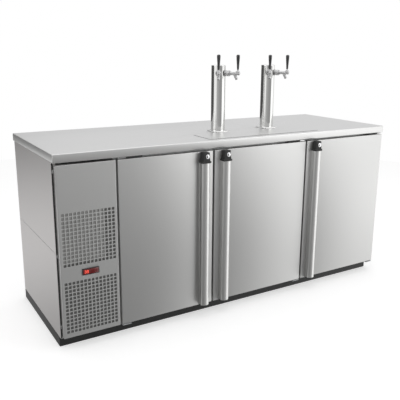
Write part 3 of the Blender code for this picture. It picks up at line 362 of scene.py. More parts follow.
@dataclass(frozen=True)
class Brushed(Finish):
    """Metal with a directional grain."""

    grain: Grain = Grain.ALONG_X
    contrast: float = 0.08
    spread: float = 0.06
    metallic: float = 1.0
    bump: float = 0.06
    wiped: float = 0.04

    def pattern(self, wiring: Wiring, place: Socket) -> dict[str, Any]:
        """Give the streaks along the grain.

        Args:
            wiring: The material's wiring.
            place: The object coordinates.

        Returns:
            Sockets by the shader's inputs.
        """
        stretched = {"Vector": place, "Scale": self.grain.value}
        return wiring.effect(
            "brushed",
            Vector=wiring.add("ShaderNodeMapping", stretched).outputs[0],
            Colour=self.rgba,
            Contrast=self.contrast,
            Roughness=self.roughness,
            Spread=self.spread,
        )


@dataclass(frozen=True)
class Galvanised(Finish):
    """Zinc-coated sheet."""

    metallic: float = 1.0
    contrast: float = 0.18
    wiped: float = 0.08

    def pattern(self, wiring: Wiring, place: Socket) -> dict[str, Any]:
        """Give the crystals."""
        given = {"Contrast": self.contrast, "Roughness": self.roughness}
        return wiring.effect("spangled", Vector=place, Colour=self.rgba, **given)


@dataclass(frozen=True)
class Moulded(Finish):
    """Plastic, rubber or paint with an even grain and, where wear is set, scuffs."""

    grain: float = 900.0
    bump: float = 0.15
    wear: float = 0.0
    spread: float = 0.12
    bare: tuple[float, ...] = (0.25, 0.25, 0.26, 1.0)
    wiped: float = 0.08

    def pattern(self, wiring: Wiring, place: Socket) -> dict[str, Any]:
        """Give the grain and the scuffs.

        Args:
            wiring: The material's wiring.
            place: The object coordinates.

        Returns:
            Sockets by the shader's inputs.
        """
        even = {"Scale": self.grain, "Roughness": self.roughness, "Spread": self.spread}
        scuffed = {"Colour": self.rgba, "Bare": self.bare, "Amount": self.wear}
        grain = wiring.effect("moulded", Vector=place, **even)
        return grain | wiring.effect("worn", Vector=place, **scuffed)


@dataclass(frozen=True)
class Glowing(Finish):
    """A lit display."""

    strength: float = 1.0
    wiped: float = 0.0

    def pattern(self, wiring: Wiring, place: Socket) -> dict[str, Any]:
        """Give a glow with a faint flicker.

        Args:
            wiring: The material's wiring.
            place: The object coordinates.

        Returns:
            Values by the shader's inputs.
        """
        flicker = wiring.remap(wiring.noise(place, 400.0), (0.2, 0.8), (0.85, 1.0))
        glow = wiring.scale(self.colour, flicker)
        return {"Emission Strength": self.strength, "Emission Color": glow}


def grey(tone: float) -> Triple:
    """Give a neutral colour."""
    return (tone, tone, tone)


WORKTOP_STEEL = Brushed("worktop_steel", "worktop_steel", grey(0.70), 0.30)
FRONT_STEEL = Brushed("front_steel", "front_steel", grey(0.70), 0.26)
SIDE_STEEL = Brushed("side_steel", "side_steel", (0.73, 0.668, 0.638), 0.30, grain=Grain.ALONG_Y)
BACK_STEEL = Brushed("back_steel", "side_steel", (0.66, 0.66, 0.67), 0.38)
INNER_STEEL = Brushed("inner_steel", "inner_steel", grey(0.66), 0.36, grain=Grain.ALONG_Z)
TOWER_STEEL = Brushed(
    "tower_steel", "tower_steel", (0.72, 0.72, 0.73), 0.16, grain=Grain.DRAWN, contrast=0.04
)
TRAY_STEEL = Brushed("tray_steel", "tray_steel", (0.66, 0.66, 0.67), 0.22)
# Painted shade: steel coloured dark for the baffle, for the dim light behind the perforated sheet.
BAFFLE_PAINTED_SHADE = Brushed("baffle_painted_shade", "tray_steel", (0.36, 0.36, 0.35), 0.50)
# Painted shade: near-black steel for the tray's well and the grate's slot walls, standing for the
# dim light inside them.
TRAY_PAINTED_SHADE = Brushed("tray_painted_shade", "tray_steel", grey(0.09), 0.50)
ALUMINIUM = Brushed(
    "handle_aluminium", "handle_aluminium", (0.72, 0.72, 0.73), 0.28, grain=Grain.DRAWN
)
FAUCET_STEEL = Finish("faucet_steel", "tower_steel", grey(0.56), 0.42, metallic=1.0)
LOCK_CHROME = Finish("lock_chrome", "lock_steel", (0.82, 0.82, 0.83), 0.12, metallic=1.0)
SCREW_ZINC = Finish("screw_zinc", "galvanised_steel", grey(0.70), 0.25, metallic=1.0)
GALVANISED = Galvanised("galvanised_steel", "galvanised_steel", (0.58, 0.59, 0.60), 0.36)
BLACK_BASE = Moulded("black_base", "black_base", (0.007, 0.007, 0.0075), 0.58, wear=0.12)
BLACK_PLASTIC = Moulded("black_plastic", "black_plastic", (0.022, 0.022, 0.023), 0.42)
BLACK_GLOSS = Moulded(
    "black_gloss", "black_plastic", (0.015, 0.015, 0.016), 0.16, coat=0.6, bump=0.02
)
RUBBER = Moulded("gasket_rubber", "gasket_rubber", grey(0.028), 0.62, grain=600.0)
LINER = Moulded("white_liner", "white_liner", (0.80, 0.80, 0.79), 0.38, grain=250.0, bump=0.08)
PAINT = Moulded("compressor_paint", "black_plastic", (0.015, 0.015, 0.016), 0.28, grain=120.0)
COPPER = Brushed("copper", "copper_and_fins", (0.72, 0.38, 0.26), 0.28)
FINS = Brushed("fins", "copper_and_fins", (0.62, 0.63, 0.64), 0.34, grain=Grain.ALONG_Z)
FILTER = Moulded(
    "filter_mat", "black_plastic", (0.16, 0.16, 0.155), 0.90, grain=1500.0, bump=0.5
)
SCREEN = Moulded(
    "display_screen", "black_plastic", (0.16, 0.008, 0.008), 0.10, coat=1.0, bump=0.0
)
DIGITS = Glowing("display_digits", "black_plastic", (1.0, 0.10, 0.06), 0.30, strength=1.6)


def along(axis: int) -> Callable[[Edge], bool]:
    """Give a test for edges that run along an axis."""
    return lambda edge: abs((edge.verts[0].co - edge.verts[1].co).normalized()[axis]) > PARALLEL


def ends(edge: Edge, axis: int) -> list[float]:
    """Give where an edge's ends lie along an axis, the lower one first."""
    return sorted(vert.co[axis] for vert in edge.verts)


def only(kind: type, made: Iterable[Any]) -> list[Any]:
    """Give the corners, edges or faces among what an operation made."""
    return [item for item in made if isinstance(item, kind)]


def corners_of(parts: Iterable[Any]) -> list[Vert]:
    """Give each corner of some edges or faces once."""
    return list({vert for part in parts for vert in part.verts})


def circle(
    radius: float, start: float, end: float, steps: int, middle: Pair = (0.0, 0.0)
) -> list[Pair]:
    """Give points on an arc.

    Args:
        radius: Its radius.
        start: Its first angle in degrees.
        end: Its last angle in degrees.
        steps: How many parts it has.
        middle: Its centre.

    Returns:
        The points, both ends included.
    """
    angles = [math.radians(start + (end - start) * step / steps) for step in range(steps + 1)]
    return [(middle[0] + radius * math.cos(a), middle[1] + radius * math.sin(a)) for a in angles]


class Shape:
    """A mesh under construction. What adds to it gives it back, with the new corners in last."""

    def __init__(self, node: str = "", flatten: bool = True) -> None:
        """Start empty, or from a merged copy of a CAD node.

        Args:
            node: The node's name, if there is one.
            flatten: Whether the triangles of its flat faces are joined.
        """
        self.mesh = mesh = bmesh.new()
        self.last: list[Vert] = []
        if node:
            mesh.from_mesh(bpy.data.objects[node].data)
            bmesh.ops.remove_doubles(mesh, verts=mesh.verts, dist=MERGE)
        if node and flatten:
            whole = {"verts": mesh.verts, "edges": mesh.edges}
            bmesh.ops.dissolve_limit(mesh, angle_limit=FLAT, delimit=set(), **whole)

    def paint(self, verts: Iterable[Vert], slot: int) -> Shape:
        """Give the faces of the new corners their material slot.

        Args:
            verts: The corners.
            slot: The slot's number.

        Returns:
            This shape.
        """
        self.last = list(verts)
        for face in {face for vert in self.last for face in vert.link_faces}:
            face.material_index = slot
        return self

    def box(self, low: Sequence[float], high: Sequence[float], slot: int = 0) -> Shape:
        """Add a box.

        Args:
            low: Its lowest corner.
            high: Its highest corner.
            slot: Its material slot.

        Returns:
            This shape.
        """
        made = bmesh.ops.create_cube(self.mesh, size=1.0)["verts"]
        bmesh.ops.scale(self.mesh, vec=Vector(high) - Vector(low), verts=made)
        bmesh.ops.translate(self.mesh, vec=(Vector(low) + Vector(high)) / 2, verts=made)
        return self.paint(made, slot)

    def rod(
        self, start: Sequence[float], end: Sequence[float], radius: float, sides: int, slot: int = 0
    ) -> Shape:
        """Add a round rod.

        Args:
            start: The middle of its first end.
            end: The middle of its other end.
            radius: Its radius.
            sides: How many sides it has.
            slot: Its material slot.

        Returns:
            This shape.
        """
        span = Vector(end) - Vector(start)
        turn = UP.rotation_difference(span).to_matrix().to_4x4()
        made = bmesh.ops.create_cone(
            self.mesh,
            cap_ends=True,
            cap_tris=False,
            segments=sides,
            radius1=radius,
            radius2=radius,
            depth=span.length,
            matrix=Matrix.Translation((Vector(start) + Vector(end)) / 2) @ turn,
        )["verts"]
        return self.paint(made, slot)

    def turned(
        self,
        profile: Iterable[Pair],
        base: Sequence[float],
        way: Sequence[float] = UP,
        sides: int = 48,
        slot: int = 0,
    ) -> Shape:
        """Add a shape of revolution.

        Args:
            profile: Pairs of a distance along the axis and a radius.
            base: Where the axis starts.
            way: The axis's direction.
            sides: How many sides it has.
            slot: Its material slot.

        Returns:
            This shape.
        """
        mesh = self.mesh
        before = set(mesh.verts)
        axis, foot = Vector(way).normalized(), Vector(base)
        side = axis.orthogonal().normalized()
        verts = [mesh.verts.new(foot + axis * reach + side * radius) for reach, radius in profile]
        bmesh.ops.spin(
            mesh,
            geom=[*verts, *(mesh.edges.new(pair) for pair in zip(verts, verts[1:]))],
            cent=foot,
            axis=axis,
            dvec=(0.0, 0.0, 0.0),
            angle=math.tau,
            steps=sides,
            use_merge=True,
            use_duplicate=False,
        )
        made = [vert for vert in mesh.verts if vert not in before]
        bmesh.ops.remove_doubles(mesh, verts=made, dist=MERGE)
        return self.paint((vert for vert in mesh.verts if vert not in before), slot)

    def prism(self, outline: Sequence[Pair], low: float, high: float) -> Shape:
        """Add an upright prism.

        Args:
            outline: The corners of its foot as X and Y.
            low: The height of its foot.
            high: The height of its top.

        Returns:
            This shape.
        """
        corners = [self.mesh.verts.new((x, y, low)) for x, y in outline]
        return self.drawn(self.mesh.faces.new(corners), high - low).paint([*corners, *self.last], 0)

    def drawn(self, face: Face, rise: float) -> Shape:
        """Draw a face out upwards, or downwards by less than nothing.

        Args:
            face: The face.
            rise: How far.

        Returns:
            This shape.
        """
        made = bmesh.ops.extrude_face_region(self.mesh, geom=[face])["geom"]
        self.last = only(Vert, made)
        bmesh.ops.translate(self.mesh, vec=(0.0, 0.0, rise), verts=self.last)
        return self

    def extended(self, edges: Sequence[Edge]) -> list[Edge]:
        """Start a strip of faces from some edges, and give the edges of its other side."""
        return only(Edge, bmesh.ops.extrude_edge_only(self.mesh, edges=edges)["geom"])

    def inset(self, face: Face, width: float, depth: float = 0.0) -> Shape:
        """Draw a face in by a width, and raise it by a depth.

        Args:
            face: The face.
            width: How far it is drawn in.
            depth: How far it is raised.

        Returns:
            This shape.
        """
        sizes = {"thickness": width, "depth": depth}
        bmesh.ops.inset_region(self.mesh, faces=[face], use_even_offset=True, **sizes)
        return self

    def rounded(self, geom: Sequence[Any], width: float, segments: int, what: Affects) -> Shape:
        """Round edges or corners.

        Args:
            geom: The edges or corners.
            width: How much of each side goes.
            segments: Steps in the rounding.
            what: Which of the two they are.

        Returns:
            This shape.
        """
        bmesh.ops.bevel(
            self.mesh,
            geom=geom,
            offset=width,
            offset_type="OFFSET",
            segments=segments,
            profile=0.5,
            affect=what.value,
            clamp_overlap=True,
            material=-1,
        )
        return self

    def bevel(
        self,
        width: float,
        segments: int = 3,
        where: Callable[[Edge], bool] = lambda edge: True,
        angle: float = SHARP,
    ) -> Shape:
        """Round sharp edges.

        Args:
            width: How much of each side goes.
            segments: Steps in the rounding.
            where: Says whether an edge is rounded.
            angle: The least angle that counts as sharp.

        Returns:
            This shape.
        """
        edges = self.mesh.edges
        sharp = [edge for edge in edges if edge.calc_face_angle(0.0) > angle and where(edge)]
        return self.rounded(sharp, width, segments, Affects.EDGES)

    def finish(
        self,
        name: str,
        finishes: Sequence[Finish],
        replaces: str = "",
        body: str = FIXED,
        bevel: float = 0.0,
        sheet: float = 0.0,
        rule: Rule | None = None,
    ) -> None:
        """Turn the mesh into a piece of the scene.

        Args:
            name: The piece's name.
            finishes: One finish for each material slot.
            replaces: The CAD node that it stands for.
            body: The CAD body that it rides on.
            bevel: The width of its rounded edges, if a modifier rounds them.
            sheet: The thickness that a modifier gives it, inwards.
            rule: Chooses each face's slot.
        """
        if not sheet:
            bmesh.ops.recalc_face_normals(self.mesh, faces=self.mesh.faces)
        for face in self.mesh.faces:
            face.smooth = True
            if rule:
                face.material_index = rule(face)
        data = bpy.data.meshes.new(name)
        self.mesh.to_mesh(data)
        self.mesh.free()
        for finish in finishes:
            data.materials.append(finish.material())
        data.set_sharp_from_angle(angle=SHARP)
        piece = placed(name, data)
        if sheet:
            modify(piece, "SOLIDIFY", thickness=sheet, offset=-1.0, use_even_offset=True)
        if bevel:
            limits = {"limit_method": "ANGLE", "angle_limit": SHARP, "use_clamp_overlap": True}
            modify(piece, "BEVEL", width=bevel, segments=2, **limits)
        if bevel or sheet:
            modify(piece, "WEIGHTED_NORMAL", keep_sharp=True)
        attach(piece, body)
        if replaces:
            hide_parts(replaces)
        LOG.info("%s rides on %s with %d faces", name, body, len(data.polygons))


def placed(name: str, data: Any) -> bpy.types.Object:
    """Put a mesh, a lamp or a camera into the scene.

    Args:
        name: The object's name.
        data: What it shows.

    Returns:
        The object.
    """
    made = bpy.data.objects.new(name, data)
    bpy.context.scene.collection.objects.link(made)
    return made


def modify(piece: bpy.types.Object, kind: str, **settings: Any) -> None:
    """Give a piece a modifier.

    Args:
        piece: The piece.
        kind: The modifier's type name.
        **settings: Its properties.
    """
    modifier = piece.modifiers.new(kind.lower(), kind)
    for key, value in settings.items():
        setattr(modifier, key, value)


def refined(
    node: str, *finishes: Finish, bevel: float, body: str = FIXED, rule: Rule | None = None
) -> None:
    """Replace a CAD node by a copy with rounded edges, its finishes and a rule for their slots."""
    Shape(node).finish(f"{node}_skin", finishes, node, body, bevel=bevel, rule=rule)


def foot_of(low: Vector, high: Vector) -> Vector:
    """Give the middle of a box's underside."""
    return Vector(((low.x + high.x) / 2, (low.y + high.y) / 2, low.z))


@dataclass
class Screw:
    """A pan-head screw with a recess."""

    radius: float = 0.0045
    height: float = 0.0022
    recess: float = 0.0011

    def add(self, shape: Shape, place: Vector, way: Vector, slot: int = 0) -> None:
        """Add one screw head to a shape.

        Args:
            shape: The shape.
            place: The middle of its seat.
            way: The way that it faces.
            slot: Its material slot.
        """
        shares = ((-0.5, 0.0), (-0.5, 0.9), (0.0, 1.0), (0.55, 0.92), (0.9, 0.65), (1.0, 0.42))
        profile = [(self.height * rise, self.radius * wide) for rise, wide in shares]
        sunk = self.height - self.recess
        profile += [(sunk, self.radius * 0.30), (sunk, 0.0)]
        shape.turned(profile, place, way, sides=20, slot=slot)


@dataclass
class Cabinet:
    """The insulated box, its side panels, its base and its back."""

    strip_thickness: float = 0.0018
    strip_end: float = 0.004
    clip_half: float = 0.008
    clip_insets: Triple = (0.048, 0.012, 0.030)
    cover_half: float = 0.014
    cover_end: float = 0.03
    cover_rise: float = 0.0010
    bay_screw_inset: float = 0.012
    screw_inset: float = 0.045
    screw: Screw = field(default_factory=Screw)

    def build(self) -> None:
        """Build every fixed wall."""
        for node, finish, rounding in (
            ("base_plinth", BLACK_BASE, 0.0025),
            ("cabinet_floor", INNER_STEEL, 0.002),
            ("keg_room_ceiling", LINER, 0.002),
            ("partition_wall", LINER, 0.002),
            ("door_post_1", INNER_STEEL, 0.003),
            ("door_post_2", INNER_STEEL, 0.003),
            ("side_panel_upper", SIDE_STEEL, 0.0012),
            ("side_panel_lower", SIDE_STEEL, 0.0012),
            ("machine_bay_rear_panel", BACK_STEEL, 0.0006),
        ):
            refined(node, finish, bevel=rounding)
        refined("rear_wall", LINER, BACK_STEEL, bevel=0.002, rule=self.outer_back)
        refined("right_wall", LINER, SIDE_STEEL, bevel=0.002, rule=self.outer_right)
        self.build_front_strip()
        self.build_back_details()

    @staticmethod
    def outer_back(face: Face) -> int:
        """Give the back of the rear wall the steel's slot."""
        return int(face.normal.y > FACING)

    @staticmethod
    def outer_right(face: Face) -> int:
        """Give the outside and the ends of the right wall the steel's slot."""
        return int(face.normal.x > FACING or abs(face.normal.y) > FACING)

    def build_front_strip(self) -> None:
        """Build the black rubber strip between the side panels and the front panel, which paints
        the shade in the gap there, and its clips.
        """
        panel_low, panel_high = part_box("front_grille_panel")
        side_low, side_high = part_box("side_panel_lower")[0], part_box("side_panel_upper")[1]
        rear = side_low.y - SKIM
        left, right = side_low.x + 0.0008, panel_low.x - 0.0004
        # Painted shade: a black strip fills the gap where the side panels' front edge lies in
        # shadow.
        low = (left, rear - self.strip_thickness, side_low.z + self.strip_end)
        shade_strip = Shape().box(low, (right, rear, side_high.z - self.strip_end))
        shade_strip.bevel(0.0005, 2).finish("side_strip_painted_shade", [RUBBER])
        clips = Shape()
        lower, below_middle, upper = self.clip_insets
        middle = (panel_low.z + panel_high.z) / 2 - below_middle
        for height in (panel_low.z + lower, middle, panel_high.z - upper):
            low = (left + 0.0008, rear - 0.006, height - self.clip_half)
            clips.box(low, (right - 0.0006, rear - 0.002, height + self.clip_half))
        clips.bevel(0.0012, 2).finish("panel_clips", [SCREW_ZINC])

    def build_back_details(self) -> None:
        """Build the cover strips and screws on the back."""
        low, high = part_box("rear_wall")
        bay_low, bay_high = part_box("machine_bay_rear_panel")
        rear = high.y + self.cover_rise
        trim, heads = Shape(), Shape()
        for share in (0.36, 0.68):
            x = low.x + (high.x - low.x) * share
            start = (x - self.cover_half, high.y - 0.0002, low.z + self.cover_end)
            trim.box(start, (x + self.cover_half, rear, high.z - self.cover_end))
        trim.bevel(0.0004, 1).finish("back_cover_strips", [BACK_STEEL])
        for share in (0.03, 0.35, 0.66, 0.97):
            height = bay_low.z + (bay_high.z - bay_low.z) * share
            for x in (bay_low.x + self.bay_screw_inset, bay_high.x - self.bay_screw_inset):
                self.screw.add(heads, Vector((x, bay_high.y, height)), REARWARD)
        inset = self.screw_inset
        for share in (0.02, 0.36, 0.68, 0.98):
            x = low.x + (high.x - low.x) * share
            for height in (low.z + inset, (low.z + high.z) / 2, high.z - inset):
                self.screw.add(heads, Vector((x, rear, height)), REARWARD)
        heads.finish("back_screws", [SCREW_ZINC])


@dataclass
class FrontPanel:
    """The perforated sheet in front of the machine bay, and what is behind its holes."""

    count: int = 14
    pitch: float = 0.018
    hole: float = 0.0134
    corner: float = 0.0022
    cell_margin: float = 0.011
    field_rise: float = 0.01975
    field_gap: float = 0.070
    sheet: float = 0.0012
    fold: float = 0.0022
    fold_steps: int = 4
    window: Pair = (0.0355, 0.0120)
    baffle_gap: float = 0.0012
    baffle_inset: float = 0.060
    mat_gap: float = 0.0025
    mat_depth: float = 0.003
    side_gap: float = 0.004

    def __post_init__(self) -> None:
        """Read the panel's place from the CAD."""
        self.low, self.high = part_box("front_grille_panel")
        self.middle = (self.low + self.high) / 2
        self.tall = self.count * self.pitch
        lower = self.low.z + self.field_rise
        self.fields = (lower, lower + self.tall + self.field_gap)

    def build(self) -> None:
        """Build the sheet and the baffle behind its upper field."""
        self.build_sheet()
        self.build_baffle()

    def build_sheet(self) -> None:
        """Build the sheet from a grid: inset and open its cells, and fold its rim back."""
        shape = Shape()
        mesh = shape.mesh
        self.add_grid(mesh)
        cells = [face for face in mesh.faces if self.is_cell(face.calc_center_median())]
        rim = {"thickness": (self.pitch - self.hole) / 2, "depth": 0.0}
        bmesh.ops.inset_individual(mesh, faces=cells, use_even_offset=True, **rim)
        shape.rounded(corners_of(cells), self.corner, 2, Affects.CORNERS)
        least = 0.8 * self.hole**2
        holes = [face for face in mesh.faces if face.calc_area() > least and self.is_hole(face)]
        bmesh.ops.delete(mesh, geom=holes, context="FACES_ONLY")
        self.open_window(mesh)
        self.fold_rim(shape)
        if any(face.normal.y > FACING for face in mesh.faces):
            bmesh.ops.reverse_faces(mesh, faces=mesh.faces)
        shape.finish("front_panel_sheet", [FRONT_STEEL], "front_grille_panel", sheet=self.sheet)

    def add_grid(self, mesh: bmesh.types.BMesh) -> None:
        """Add the grid, with a row and a column for each line of holes.

        Args:
            mesh: The sheet.
        """
        steps = [self.pitch * step for step in range(self.count + 1)]
        xs = [self.low.x + self.fold, *(self.low.x + self.cell_margin + step for step in steps)]
        xs.append(self.high.x - self.fold)
        rows = [start + step for start in self.fields for step in steps]
        zs = [self.low.z + self.fold, *rows, self.high.z - self.fold]
        across, up = len(xs) - 1, len(zs) - 1
        grid = bmesh.ops.create_grid(mesh, x_segments=across, y_segments=up, size=0.5)["verts"]
        for vert in grid:
            column, row = round((vert.co.x + 0.5) * across), round((vert.co.y + 0.5) * up)
            vert.co = (xs[column], self.low.y, zs[row])
        mesh.normal_update()

    def is_cell(self, place: Vector) -> bool:
        """Say whether a point lies in a field of holes."""
        inside = self.low.x + self.cell_margin < place.x < self.high.x - self.cell_margin
        return inside and any(0.0 < place.z - start < self.tall for start in self.fields)

    def is_hole(self, face: Face) -> bool:
        """Say whether a face fills a hole: it lies centred in its cell.

        Args:
            face: A face of the sheet.

        Returns:
            True for the filling of a hole.
        """
        place = face.calc_center_median()
        if not self.is_cell(place):
            return False
        start = max(start for start in self.fields if start < place.z)
        across = (place.x - self.low.x - self.cell_margin) / self.pitch % 1.0
        rise = (place.z - start) / self.pitch % 1.0
        return abs(across - 0.5) < 0.05 and abs(rise - 0.5) < 0.05

    def open_window(self, mesh: bmesh.types.BMesh) -> None:
        """Cut the controller's window in the band between the two fields.

        Args:
            mesh: The sheet.
        """
        half_gap = self.field_gap / 2
        middle = Vector((self.middle.x, self.low.y, self.fields[1] - half_gap))
        for axis, half in zip((X, Z), self.window):
            normal = Vector.Fill(3, 0.0)
            normal[axis] = 1.0
            for offset in (-half, half):
                rises = [(face, face.calc_center_median().z - middle.z) for face in mesh.faces]
                band = [face for face, rise in rises if abs(rise) < half_gap]
                geom = [*band, *{edge for face in band for edge in face.edges}, *corners_of(band)]
                place = middle + normal * offset
                bmesh.ops.bisect_plane(mesh, geom=geom, dist=MERGE, plane_co=place, plane_no=normal)
        half_x, half_z = self.window
        reaches = [(face, face.calc_center_median() - middle) for face in mesh.faces]
        inside = [face for face, to in reaches if abs(to.x) < half_x and abs(to.z) < half_z]
        bmesh.ops.delete(mesh, geom=inside, context="FACES")

    def on_rim(self, edge: Edge) -> bool:
        """Say whether an edge lies on the sheet's outer edge.

        Args:
            edge: An edge of the sheet.

        Returns:
            True on the outer edge.
        """
        place = (edge.verts[0].co + edge.verts[1].co) / 2
        low, high = place - self.low, self.high - place
        nearest = min(abs(low.x), abs(high.x), abs(low.z), abs(high.z))
        return edge.is_boundary and nearest < self.fold + MERGE

    def fold_rim(self, shape: Shape) -> None:
        """Fold the sheet's outer rim back to the cabinet.

        Args:
            shape: The sheet.
        """
        mesh = shape.mesh
        rim = [edge for edge in mesh.edges if self.on_rim(edge)]
        turn = circle(1.0, 0.0, 90.0, self.fold_steps)
        bends = zip(turn, turn[1:])
        moves = [((b[1] - a[1]) * self.fold, (a[0] - b[0]) * self.fold) for a, b in bends]
        half = (self.high - self.low) / 2
        for out, back in [*moves, (0.0, self.high.y - self.low.y - self.fold)]:
            rim = shape.extended(rim)
            for vert in corners_of(rim):
                reach = vert.co - self.middle
                for axis in (X, Z):
                    if abs(reach[axis]) > half[axis] - self.fold - MERGE:
                        vert.co[axis] += math.copysign(out, reach[axis])
                vert.co.y += back
        bmesh.ops.recalc_face_normals(mesh, faces=mesh.faces)

    def build_baffle(self) -> None:
        """Build the sheet that guides the air behind the upper field, darkened as painted shade,
        and the mat behind it.
        """
        left, right = self.low.x + self.side_gap, self.high.x - self.side_gap
        front = self.low.y + self.sheet + self.baffle_gap
        low = Vector((left, front, self.fields[1] + 0.019))
        top = self.fields[1] + self.tall + 0.02
        high = Vector((self.high.x - self.baffle_inset, front + 0.001, top))
        baffle = Shape().box(low, high)
        baffle.box((high.x - 0.001, front, low.z), (high.x, front + 0.002, high.z))
        # The baffle's dark steel is painted shade, for the dim light behind the sheet's holes.
        baffle.bevel(0.0003, 1).finish("air_baffle", [BAFFLE_PAINTED_SHADE])
        start = front + self.mat_gap
        end = (right, start + self.mat_depth, high.z + 0.002)
        Shape().box((left, start, self.low.z + 0.006), end).finish("dust_filter", [FILTER])


@dataclass
class Controller:
    """The temperature controller: bezel, screen, digits and keys."""

    margin: float = 0.0022
    recess: float = 0.0012
    corner: float = 0.0022
    depth: float = 0.004
    body_inset: Triple = (0.005, 0.0, 0.0035)
    body_start: float = 0.0035
    step: float = 0.0004
    screen_gap: float = 0.0008
    screen_depth: float = 0.0012
    screen_share: float = 0.925
    digit_height: float = 0.0125
    digit_width: float = 0.0068
    digit_inset: float = 0.010
    digit_gap: float = 0.0045
    bar: float = 0.0014
    digits: str = "38"
    lit: dict[str, str] = field(default_factory=lambda: {"3": "abgcd", "8": "abcdefg"})
    key_columns: Pair = (0.012, 0.021)
    key: Triple = (0.0028, 0.0, 0.0022)

    def build(self) -> None:
        """Build the controller."""
        self.low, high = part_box("temperature_controller")
        self.high = Vector((high.x, self.low.y + self.depth, high.z))
        inset = self.margin + self.screen_gap
        start = Vector((self.low.x + inset, self.low.y + self.step, self.low.z + inset))
        right = self.low.x + inset + (self.high.x - self.low.x) * self.screen_share
        end = Vector((right, self.low.y + self.step + self.screen_depth, self.high.z - inset))
        self.screen = start, end
        self.middle_z = (self.low.z + self.high.z) / 2
        self.build_bezel(high.y)
        Shape().box(start, end).bevel(0.0005, 2).finish("controller_screen", [SCREEN])
        self.build_digits()
        self.build_keys()

    def build_bezel(self, rear: float) -> None:
        """Build the bezel with its recessed face, and the body behind it.

        Args:
            rear: How far back the body reaches.
        """
        shape = Shape().box(self.low, self.high).bevel(self.corner, 5, along(Y))
        front = min(shape.mesh.faces, key=lambda face: face.calc_center_median().y)
        shape.inset(front, self.margin).inset(front, self.step, -self.recess)
        shape.bevel(0.0008, 3, lambda edge: ends(edge, Y)[0] < self.low.y + SKIM)
        inner = Vector(self.body_inset)
        start = self.low + inner + REARWARD * self.body_start
        shape.box(start, Vector((self.high.x, rear, self.high.z)) - inner)
        shape.finish("controller_bezel", [BLACK_PLASTIC], "temperature_controller")

    def build_digits(self) -> None:
        """Build the lit bars of each digit."""
        shape = Shape()
        half, wide = self.digit_height / 2, self.digit_width / 2
        # Each bar's place from the digit's middle, and whether it lies flat.
        bars = {
            "a": (0, half, True),
            "b": (wide, half / 2, False),
            "c": (wide, -half / 2, False),
            "d": (0, -half, True),
            "e": (-wide, -half / 2, False),
            "f": (-wide, half / 2, False),
            "g": (0, 0, True),
        }
        start = self.screen[0]
        for number, digit in enumerate(self.digits):
            middle_x = start.x + self.digit_inset + number * (self.digit_width + self.digit_gap)
            for x, z, flat in (bars[name] for name in self.lit[digit]):
                length = (self.digit_width if flat else half) - self.bar * 0.6
                sides = (length / 2, self.bar / 2) if flat else (self.bar / 2, length / 2)
                reach = Vector((sides[0], 0, sides[1]))
                centre = Vector((middle_x + x, start.y, self.middle_z + z))
                front, back = centre - REARWARD * 0.00015, centre + REARWARD * 0.0003
                shape.box(front - reach, back + reach)
        shape.finish("controller_digits", [DIGITS])

    def build_keys(self) -> None:
        """Build four plain keys on the screen."""
        step_z = (self.high.z - self.low.z) / 6
        shape = Shape()
        half = Vector(self.key)
        for column in self.key_columns:
            for rise in (-step_z, step_z):
                centre = Vector((self.high.x - column, self.screen[0].y, self.middle_z + rise))
                shape.box(centre - half - REARWARD * 0.0003, centre + half + REARWARD * 0.0006)
        shape.bevel(0.0006, 2).finish("controller_keys", [SCREEN])


